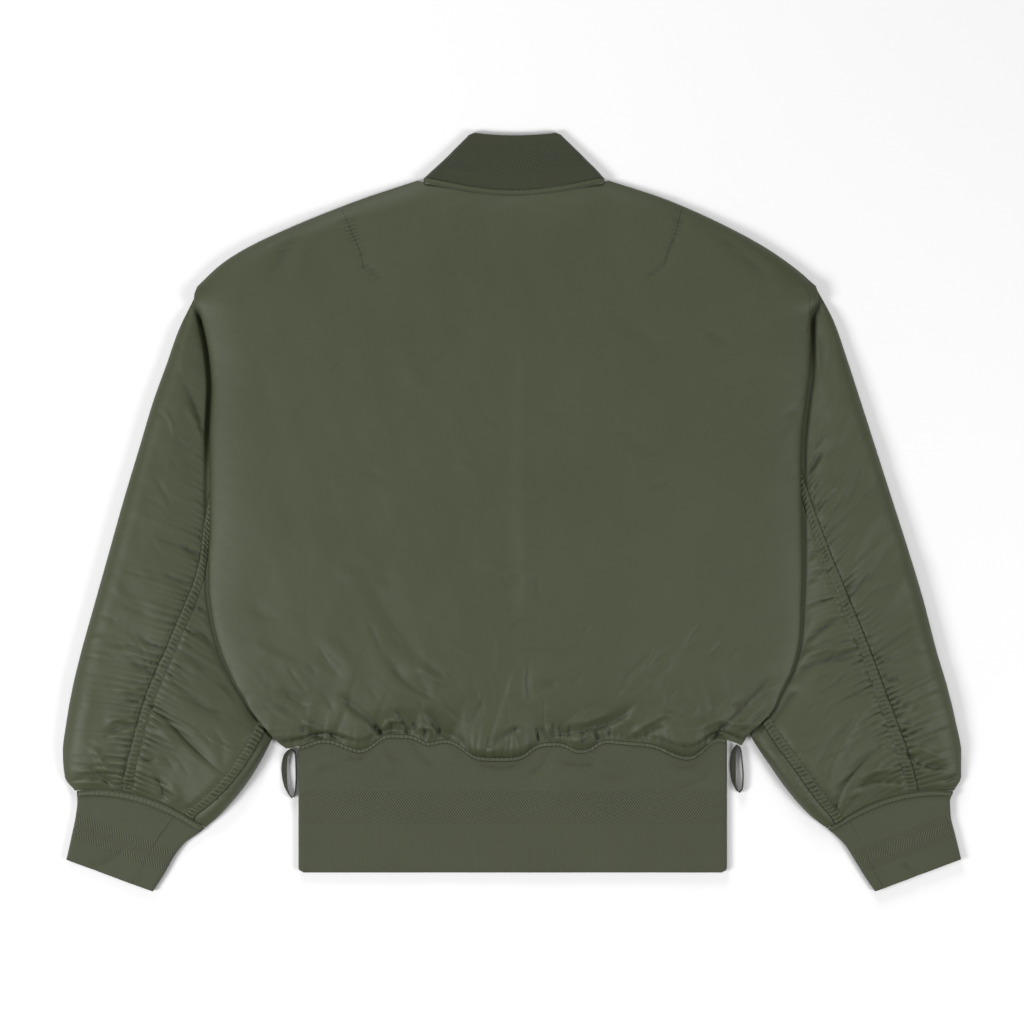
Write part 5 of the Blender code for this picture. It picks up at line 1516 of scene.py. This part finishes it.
@dataclass
class SeamStrip:
    """A narrow strip of cloth sewn down over a seam, puckered between its stitches."""

    base: Array
    pitch: float = 4.7
    ripple: float = 1.5
    rise: float = 1.2
    crown: float = 0.15
    edge_fall: float = 0.7
    lowest: float = 0.55
    lengthwise: bool = False

    def grid(self) -> Array:
        """The strip's points: the base raised, crowned and puckered."""
        rows, columns = self.base.shape[:2]
        wide = columns if self.lengthwise else rows
        middle = self.base[:, columns // 2] if self.lengthwise else self.base[rows // 2]
        along = run_along(middle)
        phase = along / self.pitch + 0.2 * np.sin(along / 13.0)
        share = self.lowest + (1.0 - self.lowest) * scatter(np.round(phase), 2.0)
        wave = share * (0.5 + 0.5 * np.cos(2 * math.pi * (phase - np.round(phase))))
        across = np.linspace(-1.0, 1.0, wide)
        crown = np.maximum(0.0, 1.0 - across ** 4)
        lift = self.ripple * wave[:, None] * crown[None, :] + self.crown * crown[None, :]
        lift = lift - self.edge_fall * (np.abs(across) > 0.99)[None, :]
        grid = self.base.copy()
        grid[..., 2] += self.rise + (lift if self.lengthwise else lift.T)
        return grid

    def edges(self) -> list[Array]:
        """The two lines of points that the stitches follow."""
        grid = self.grid()
        if self.lengthwise:
            return [grid[:, 1], grid[:, -2]]
        return [grid[1], grid[-2]]


class Repeats:
    """One small piece modelled once and copied to many places, as a single mesh."""

    def __init__(self, template: Piece) -> None:
        """Takes the modelled piece apart and removes it from the scene."""
        mesh = template.data
        self.corners = np.array([vertex.co for vertex in mesh.vertices])
        self.faces = [tuple(face.vertices) for face in mesh.polygons]
        bpy.data.objects.remove(template, do_unlink=True)

    def copies(self, name: str, places: list[tuple[Array, Array, Array]]) -> Piece:
        """Every copy in one piece.

        Args:
            name: the piece's name.
            places: for each copy its middle, its heading and its up direction, in metres.

        Returns:
            The finished piece.
        """
        corners, faces = [], []
        for middle, heading, up in places:
            side = np.cross(up, heading)
            side /= np.linalg.norm(side)
            upright = np.cross(heading, side)
            start = len(corners) * len(self.corners)
            corners.append(self.corners @ np.array((heading, side, upright)) + middle)
            faces.extend(tuple(start + corner for corner in face) for face in self.faces)
        mesh = bpy.data.meshes.new(name)
        mesh.from_pydata(np.concatenate(corners).tolist(), [], faces)
        piece = bpy.data.objects.new(name, mesh)
        bpy.context.collection.objects.link(piece)
        bpy.ops.object.select_all(action="DESELECT")
        piece.select_set(True)
        bpy.context.view_layer.objects.active = piece
        bpy.ops.object.shade_smooth()
        return piece


@dataclass
class Stitching:
    """Rows of sewing thread."""

    length: float = 2.5
    pitch: float = 3.5
    thickness: float = 0.62
    flatness: float = 0.8
    look_ahead: float = 1.2
    places: list[tuple[Array, Array, Array]] = field(default_factory=list)

    def sew(self, line: Array) -> None:
        """Adds a row of stitches along a line of points in millimetres."""
        along = run_along(line)
        at = np.arange(0.5 * self.pitch, along[-1] - 0.5 * self.pitch, self.pitch)
        middle, ahead = (np.column_stack([np.interp(place, along, line[:, k]) for k in range(3)])
                         for place in (at, at + self.look_ahead))
        heading = ahead - middle
        heading /= np.linalg.norm(heading, axis=1)[:, None]
        up = np.array((0.0, 0.0, 1.0))
        self.places += [(spot * MM, way, up) for spot, way in zip(middle, heading)]

    def thread(self, name: str) -> Piece:
        """All the stitches as one piece."""
        bpy.ops.object.select_all(action="DESELECT")
        bpy.ops.mesh.primitive_uv_sphere_add(segments=6, ring_count=4, radius=0.5 * MM)
        stitch = bpy.context.object
        bpy.ops.object.mode_set(mode="EDIT")
        bpy.ops.transform.resize(value=(self.length, self.thickness, self.flatness * self.thickness))
        bpy.ops.object.mode_set(mode="OBJECT")
        return Repeats(stitch).copies(name, self.places)


@dataclass
class Zip:
    """The closed zip's teeth, in front of its tapes."""

    pitch: float = 2.6
    tooth: Triple = (3.6, 1.5, 2.2)
    middle: float = 1.35
    from_middle: float = 1.1
    softened: float = 0.35
    bottom: float = HEM_BOTTOM_Y + 6.0
    top: float = FRONT_NECK_Y - 4.0

    def teeth(self) -> Piece:
        """Both rows of teeth as one piece."""
        bpy.ops.object.select_all(action="DESELECT")
        bpy.ops.mesh.primitive_cube_add(size=MM)
        tooth = bpy.context.object
        bpy.ops.object.mode_set(mode="EDIT")
        bpy.ops.transform.resize(value=self.tooth)
        bpy.ops.mesh.bevel(offset=self.softened * MM, segments=1, affect="EDGES")
        bpy.ops.object.mode_set(mode="OBJECT")
        up = np.array((0.0, 0.0, 1.0))
        places = []
        for y in np.arange(self.bottom, self.top, self.pitch):
            for side, shift in ((-1.0, 0.0), (1.0, self.pitch / 2)):
                height = SEAM_GAP + self.middle + float(zip_lift(y + shift))
                spot = np.array((side * self.from_middle, y + shift, height)) * MM
                places.append((spot, np.array((1.0, 0.0, 0.0)), up))
        return Repeats(tooth).copies("zip_teeth", places)


# ---------------------------------------------------------------- materials
class Shader:
    """A material under construction, with its Principled shader."""

    def __init__(self, name: str) -> None:
        """Starts a plain material."""
        self.material = bpy.data.materials.new(name)
        self.material.use_nodes = True
        self.tree = self.material.node_tree
        self.surface = self.tree.nodes["Principled BSDF"]

    def node(self, kind: str, settings: dict[str, Any] | None = None,
             inputs: dict[str | int, Any] | None = None) -> bpy.types.Node:
        """A node with its settings and inputs.

        Args:
            kind: the node's type.
            settings: its own properties, set first.
            inputs: values, links or Numbers for its sockets.

        Returns:
            The node.
        """
        made = self.tree.nodes.new(kind)
        for name, value in (settings or {}).items():
            setattr(made, name, value)
        for name, value in (inputs or {}).items():
            self.feed(made.inputs[name], value)
        return made

    def feed(self, socket: bpy.types.NodeSocket, value: Any) -> None:
        """Links a socket, or sets its value."""
        if isinstance(value, Number):
            value = value.socket
        if isinstance(value, bpy.types.NodeSocket):
            self.tree.links.new(value, socket)
        else:
            socket.default_value = value

    def set(self, **values: Any) -> None:
        """Sets or links the surface's inputs, named with underscores for spaces."""
        for name, value in values.items():
            self.feed(self.surface.inputs[name.replace("_", " ")], value)

    def cloth_place(self) -> tuple["Number", "Number"]:
        """Distances across and up the cloth, metres."""
        uv = self.node("ShaderNodeUVMap", {"uv_map": "UVMap"})
        split = self.node("ShaderNodeSeparateXYZ", None, {0: uv.outputs[0]})
        return Number(self, split.outputs[0]), Number(self, split.outputs[1])

    def noise(self, place: Any, scale: float, detail: float = 2.0, stretch: float = 0.0) -> "Number":
        """Soft noise from 0 to 1 over a place, with so many hills to the metre."""
        texture = self.node("ShaderNodeTexNoise", {"noise_dimensions": "3D"},
                            {"Vector": place, "Scale": scale, "Detail": detail, "Distortion": stretch})
        return Number(self, texture.outputs["Fac"])

    def object_place(self) -> bpy.types.NodeSocket:
        """Place on the piece in the jacket's own frame."""
        return self.node("ShaderNodeTexCoord").outputs["Object"]

    def blend(self, share: Any, first: Any, second: Any) -> bpy.types.NodeSocket:
        """A colour between two, each a colour or a link."""
        first, second = ((*tone, 1.0) if isinstance(tone, tuple) else tone for tone in (first, second))
        mix = self.node("ShaderNodeMix", {"data_type": "RGBA"}, {0: share, 6: first, 7: second})
        return mix.outputs[2]

    def painted_crease_shade(self) -> "Number":
        """How deep the place lies in a crease, from 0 to 1: the share of painted crease shade."""
        made = self.node("ShaderNodeAttribute", {"attribute_name": "painted_crease_shade"})
        return Number(self, made.outputs["Fac"])

    def bump(self, height: "Number", strength: float = 1.0) -> None:
        """Raises the surface by a height in millimetres."""
        made = self.node("ShaderNodeBump", None,
                         {"Height": height, "Distance": MM, "Strength": strength})
        self.set(Normal=made.outputs[0])


class Number:
    """A number that varies over a surface; arithmetic on it adds Math nodes."""

    def __init__(self, shader: Shader, socket: bpy.types.NodeSocket) -> None:
        """Wraps a node's output."""
        self.shader, self.socket = shader, socket

    def math(self, operation: str, *values: Any) -> "Number":
        """The result of a Math node on values."""
        made = self.shader.node("ShaderNodeMath", {"operation": operation}, dict(enumerate(values)))
        return Number(self.shader, made.outputs[0])

    def __add__(self, other: Any) -> "Number":
        """Sum."""
        return self.math("ADD", self, other)

    __radd__ = __add__

    def __sub__(self, other: Any) -> "Number":
        """Difference."""
        return self.math("SUBTRACT", self, other)

    def __rsub__(self, other: Any) -> "Number":
        """Difference the other way."""
        return self.math("SUBTRACT", other, self)

    def __mul__(self, other: Any) -> "Number":
        """Product."""
        return self.math("MULTIPLY", self, other)

    __rmul__ = __mul__

    def __truediv__(self, other: Any) -> "Number":
        """Quotient."""
        return self.math("DIVIDE", self, other)

    def sine(self) -> "Number":
        """Sine of the number."""
        return self.math("SINE", self)

    def whole(self) -> "Number":
        """The whole number below."""
        return self.math("FLOOR", self)

    def fraction(self) -> "Number":
        """What lies beyond the whole number below."""
        return self.math("FRACT", self)

    def between(self, low: float, high: float) -> "Number":
        """1 where the number lies between two values, otherwise 0."""
        return self.math("GREATER_THAN", self, low) * self.math("LESS_THAN", self, high)


@dataclass(frozen=True)
class SatinNylon:
    """Closely woven nylon with a soft satin shine."""

    name: str = "nylon_satin"
    shade: Triple = (0.0312, 0.0384, 0.0140)
    light: Triple = (0.0494, 0.0580, 0.0268)
    # deep is the colour of painted shade at the bottom of a crease
    deep: Triple = (0.010, 0.012, 0.005)
    roughness: float = 0.54
    wrinkle: float = 0.45

    def material(self) -> bpy.types.Material:
        """The finish as a material."""
        shader = Shader(self.name)
        place = shader.object_place()
        broad = shader.noise(place, 9.0, 2.0)
        grain = shader.noise(place, 620.0, 1.0)
        crumple = shader.noise(place, 46.0, 3.0, 0.6)
        fine = shader.noise(place, 130.0, 2.0, 0.4)
        woven = shader.blend(broad * 0.6 + grain * 0.4, self.shade, self.light)
        # the colour darkens towards deep in creases: painted shade
        shader.set(Base_Color=shader.blend(shader.painted_crease_shade(), woven, self.deep),
                   Roughness=self.roughness + 0.10 * grain,
                   Specular_IOR_Level=0.47)
        shader.bump(self.wrinkle * crumple + 0.3 * self.wrinkle * fine + 0.035 * grain)
        return shader.material


@dataclass(frozen=True)
class RibKnit:
    """Double rib knit with a herringbone band."""

    name: str
    band_low: float
    band_high: float
    shade: Triple = (0.012, 0.016, 0.006)
    light: Triple = (0.078, 0.087, 0.046)
    # deep is the colour of painted shade at the bottom of a crease
    deep: Triple = (0.012, 0.014, 0.007)
    wale: float = 0.0019
    slant_pitch: float = 0.0027
    row_height: float = 0.0082

    def material(self) -> bpy.types.Material:
        """The finish as a material."""
        shader = Shader(self.name)
        across, up = shader.cloth_place()
        turn = 2 * math.pi
        wales = 0.5 + 0.5 * (across * (turn / self.wale)).sine()
        row = (up - self.band_low) / self.row_height
        part = row.fraction()
        odd = (row.whole() * 0.5).fraction() * 2.0
        way = part + odd * (1.0 - 2.0 * part)
        slant = 0.5 + 0.5 * ((across + way * (0.75 * self.row_height)) * (turn / self.slant_pitch)).sine()
        band = up.between(self.band_low, self.band_high)
        stitch = band * slant + (1.0 - band) * (0.3 * wales + 0.34)
        grain = shader.noise(shader.object_place(), 700.0, 1.0)
        broad = shader.noise(shader.object_place(), 14.0, 2.0)
        tone = stitch * 0.72 + grain * 0.26 + broad * 0.14 - 0.06
        knit = shader.blend(tone, self.shade, self.light)
        # the colour darkens towards deep in creases: painted shade
        shader.set(Base_Color=shader.blend(shader.painted_crease_shade(), knit, self.deep),
                   Roughness=0.86, Sheen_Weight=0.2, Sheen_Roughness=0.5)
        shader.bump(stitch * 0.4 + grain * 0.15)
        return shader.material


@dataclass(frozen=True)
class Tape:
    """Narrow woven tape and sewing thread; also the dark lines of painted shadow along seams."""

    name: str
    shade: Triple = (0.018, 0.021, 0.011)
    light: Triple = (0.030, 0.034, 0.020)

    def material(self) -> bpy.types.Material:
        """The finish as a material."""
        shader = Shader(self.name)
        grain = shader.noise(shader.object_place(), 1100.0, 1.0)
        shader.set(Base_Color=shader.blend(grain, self.shade, self.light), Roughness=0.8)
        shader.bump(grain * 0.12)
        return shader.material


@dataclass(frozen=True)
class AgedMetal:
    """Darkened brass, a little worn."""

    name: str = "aged_brass"
    shade: Triple = (0.09, 0.08, 0.06)
    light: Triple = (0.19, 0.16, 0.11)

    def material(self) -> bpy.types.Material:
        """The finish as a material."""
        shader = Shader(self.name)
        wear = shader.noise(shader.object_place(), 300.0, 3.0)
        shader.set(Base_Color=shader.blend(wear, self.shade, self.light),
                   Roughness=0.28 + 0.2 * wear, Metallic=0.95)
        return shader.material


# ---------------------------------------------------------------- the studio
class Lamp(NamedTuple):
    """A large soft lamp that faces the jacket: place and side in metres, power in watts."""

    name: str
    place: Triple
    power: float
    size: float

    def hang(self) -> None:
        """Adds the lamp to the scene."""
        light = bpy.data.lights.new(self.name, "AREA")
        light.shape = "RECTANGLE"
        light.size = light.size_y = self.size
        light.energy = self.power
        holder = bpy.data.objects.new(self.name, light)
        holder.location = self.place
        holder.rotation_euler = (-Vector(self.place)).to_track_quat("-Z", "Y").to_euler()
        bpy.context.collection.objects.link(holder)


@dataclass
class Studio:
    """Pale floor, soft light from beyond the collar and from both sides, and a camera overhead."""

    frame_width: float = 1.024
    lens: float = 110.0
    sensor: float = 36.0
    focus_height: float = 0.010
    floor_width: float = 8.0
    floor_drop: float = 0.0004
    paper: float = 0.8
    sky: float = 0.22
    lamps: tuple[Lamp, ...] = (
        Lamp("overhead_light", (0.0, 0.6, 4.0), 9.0, 2.4),
        Lamp("key_light", (-0.5, 2.5, 1.35), 34.0, 0.9),
        Lamp("left_light", (-1.8, -0.7, 1.8), 51.0, 0.9),
        Lamp("right_light", (1.8, -0.75, 1.8), 35.0, 0.9),
    )

    def build(self) -> None:
        """Adds floor, lights and camera."""
        bpy.ops.object.select_all(action="DESELECT")
        bpy.ops.mesh.primitive_plane_add(size=self.floor_width, location=(0.0, 0.0, 0.0))
        floor = bpy.context.object
        floor.name = "studio_floor"
        bpy.ops.transform.translate(value=(0.0, 0.0, -self.floor_drop))
        bpy.ops.object.transform_apply(location=True)
        finish = Shader("white_paper")
        finish.set(Base_Color=(self.paper, self.paper, self.paper, 1.0), Roughness=1.0,
                   Specular_IOR_Level=0.0)
        floor.data.materials.append(finish.material)
        for lamp in self.lamps:
            lamp.hang()
        world = bpy.data.worlds.new("studio")
        world.use_nodes = True
        backdrop = world.node_tree.nodes["Background"].inputs
        backdrop["Color"].default_value = (1.0, 1.0, 1.0, 1.0)
        backdrop["Strength"].default_value = self.sky
        bpy.context.scene.world = world
        bpy.context.scene.view_settings.view_transform = "Standard"
        self.camera()

    def camera(self) -> None:
        """A long lens straight above the middle."""
        data = bpy.data.cameras.new("overhead")
        data.lens, data.sensor_width = self.lens, self.sensor
        camera = bpy.data.objects.new("overhead", data)
        height = self.frame_width * self.lens / self.sensor + self.focus_height
        camera.location = (0.0, 0.0, height)
        bpy.context.collection.objects.link(camera)
        bpy.context.scene.camera = camera


# ---------------------------------------------------------------- assembly
class Laid:
    """The laid sleeves, felt from above: gives what the back rests on."""

    def __init__(self, grids: Iterable[Array]) -> None:
        """Prepares the sleeves' surfaces for rays."""
        self.trees = []
        for grid in grids:
            rows, columns = grid.shape[:2]
            number = np.arange(rows * columns).reshape(rows, columns)
            faces = np.stack((number[:-1, :-1], number[:-1, 1:], number[1:, 1:], number[1:, :-1]), axis=2)
            points = [Vector(point) for point in grid.reshape(-1, 3)]
            self.trees.append(BVHTree.FromPolygons(points, faces.reshape(-1, 4).tolist()))
        self.reach = [(0.0, 0.0)] + [(radius * math.cos(turn), radius * math.sin(turn))
                                     for radius in REST_REACH for turn in np.radians(np.arange(0, 360, 45))]

    def height(self, x: Array, y: Array) -> Array:
        """Highest cloth near each place, 0 where there is none."""
        found = np.zeros_like(x)
        down = Vector((0.0, 0.0, -1.0))
        for place in np.ndindex(x.shape):
            for tree in self.trees:
                for dx, dy in self.reach:
                    hit = tree.ray_cast(Vector((x[place] + dx, y[place] + dy, 500.0)), down)
                    if hit[0] is not None:
                        found[place] = max(found[place], hit[0].z)
        return found


class Maker:
    """Lays the pieces, dresses them and binds them to the jacket."""

    def __init__(self) -> None:
        """Makes the finishes."""
        self.nylon = SatinNylon().material()
        self.tape = Tape("woven_tape").material()
        self.thread = Tape("thread", (0.014, 0.017, 0.008), (0.024, 0.028, 0.014)).material()
        self.metal = AgedMetal().material()
        self.hem_rib = RibKnit("hem_rib", 0.049, 0.0818).material()
        self.cuff_rib = RibKnit("cuff_rib", 0.023, 0.0476).material()
        # the collar's rib in darker tones of the same knit: painted shade
        self.shaded_collar_rib = RibKnit("shaded_collar_rib", 0.0195, 0.0523, (0.002, 0.003, 0.001),
                                  (0.042, 0.051, 0.018)).material()
        # dark lines of painted shadow in the seams' grooves
        self.shadow = Tape("painted_seam_shadow", (0.014, 0.016, 0.009), (0.020, 0.023, 0.013)).material()
        self.slots = {self.nylon: "nylon", self.tape: "tape", self.thread: "tape", self.metal: "metal",
                      self.hem_rib: "rib", self.cuff_rib: "rib", self.shaded_collar_rib: "rib",
                      self.shadow: "tape"}
        self.stitching = Stitching()
        # stitches that overlap into unbroken dark lines: painted shadow along seams
        self.seams = Stitching(length=2.6, pitch=2.2, thickness=0.5)

    @staticmethod
    def dress(piece: Piece, finish: bpy.types.Material) -> None:
        """Gives a piece its only material."""
        piece.data.materials.clear()
        piece.data.materials.append(finish)

    def bind(self, piece: Piece, finish: bpy.types.Material, *nodes: str) -> Piece:
        """Dresses a piece and ties it to the jacket.

        Args:
            piece: the finished piece.
            finish: its material.
            nodes: the parts of the frame that it stands for.

        Returns:
            The same piece.
        """
        self.dress(piece, finish)
        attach(piece, "jacket")
        if nodes:
            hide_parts(*nodes)
        log.info("%s: %d faces, %.4f m2", piece.name, len(piece.data.polygons),
                 sum(face.area for face in piece.data.polygons) / 2)
        return piece

    def sew_strip(self, name: str, strip: SeamStrip, finish: bpy.types.Material) -> Piece:
        """Lays a strip over a seam and stitches both its edges."""
        for edge in strip.edges():
            self.stitching.sew(edge + np.array((0.0, 0.0, THREAD_LIFT)))
        return self.bind(Cloth.lay(name, strip.grid(), STRIP_SHELL, full_crease=STRIP_HOLLOW), finish)


def draped(piece: Piece, places: tuple[float, ...]) -> Array:
    """A smooth line over a piece's upper side.

    Args:
        piece: what the line lies on.
        places: where it passes in plan, x and y by turns.

    Returns:
        Its points in millimetres.
    """
    line = Crease(places, width=3.0).line()
    at = np.linspace(0.0, len(line) - 1.0, 6 * len(line))
    line = np.column_stack([np.interp(at, np.arange(len(line)), line[:, k]) for k in (0, 1)])
    tops = []
    for x, y in line:
        _, spot, _, _ = piece.ray_cast(Vector((x * MM, y * MM, 1.0)), Vector((0.0, 0.0, -1.0)))
        tops.append(spot.z / MM)
    return np.column_stack((line, tops))


class Cut(NamedTuple):
    """One cloth piece as cut, metres: what it lies on, and what is sewn to it."""

    piece: str
    width: float
    length: float
    area: float
    rests_on: tuple[str, ...] = ()
    sewn_on: tuple[str, ...] = ()


def main() -> None:
    """Builds the jacket from the floor up."""
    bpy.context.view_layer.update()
    maker = Maker()
    body = Body()
    grids = []
    for side in Side:
        name = side.value
        sleeve = Sleeve(side)
        wide, narrow = (outwards(side, grid) for grid in (sleeve.wide_grid(), sleeve.narrow_grid()))
        grids += [wide, narrow]
        maker.bind(Cloth.lay(f"top_sleeve_{name}", wide, SHELL), maker.nylon, f"sleeve_top_{name}")
        maker.bind(Cloth.lay(f"back_sleeve_{name}", narrow, SHELL), maker.nylon, f"sleeve_back_{name}")
        for seam in Seam:
            strip = SeamStrip(sleeve.strip_base(seam, 500, 9), lengthwise=True)
            maker.sew_strip(f"{seam.value}_strip_{name}", strip, maker.nylon)
        cuff = Cuff(side)
        maker.bind(Cloth.lay(f"rib_cuff_{name}", cuff.grid(), RIB_SHELL, ring=True), maker.cuff_rib,
                   f"cuff_{name}")
        maker.sew_strip(f"cuff_strip_{name}", SeamStrip(cuff.strip_base(), ripple=0.3), maker.nylon)
        # the cuff's closing seam as a dark line of painted shadow
        maker.seams.sew(cuff.seam_line() + SUNK)
        front = outwards(side, body.front_grid(side))
        maker.bind(Cloth.lay(f"laid_front_{name}", front, SHELL), maker.nylon, f"front_{name}")
    laid = Laid(grids)
    back = Cloth.lay("whole_back", body.back_grid(laid.height), SHELL, coarse_from=body.fine_rows)
    maker.bind(back, maker.nylon, "back")
    # the darts and the armhole seam as dark lines of painted shadow
    for seam in DARTS:
        maker.seams.sew(draped(back, seam) + SUNK)
    band = HemBand()
    maker.bind(Cloth.lay("rib_hem", band.grid(), RIB_SHELL), maker.hem_rib, "hem_band")
    maker.sew_strip("hem_strip", SeamStrip(band.strip_base(), pitch=4.4, ripple=1.2, rise=0.3), maker.nylon)
    collar = Collar()
    maker.bind(Cloth.lay("rib_collar", collar.grid(), RIB_SHELL), maker.shaded_collar_rib, "collar")
    maker.sew_strip("neck_strip", SeamStrip(collar.strip_base(), pitch=6.0, ripple=0.25), maker.nylon)
    maker.bind(maker.stitching.thread("seam_stitches"), maker.thread)
    # the dark lines of painted seam shadow
    maker.bind(maker.seams.thread("painted_seam_shadow_lines"), maker.shadow)
    maker.bind(Zip().teeth(), maker.metal, "zip_chain")
    for name, finish in (("loop_left", maker.tape), ("loop_right", maker.tape),
                         ("zip_tape_left", maker.tape), ("zip_tape_right", maker.tape),
                         ("zip_slider", maker.metal), ("zip_pull", maker.metal)):
        maker.dress(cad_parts[name], finish)
    Studio().build()


if __name__ == "__main__":
    logging.basicConfig(level=logging.INFO, format="%(message)s")
    main()
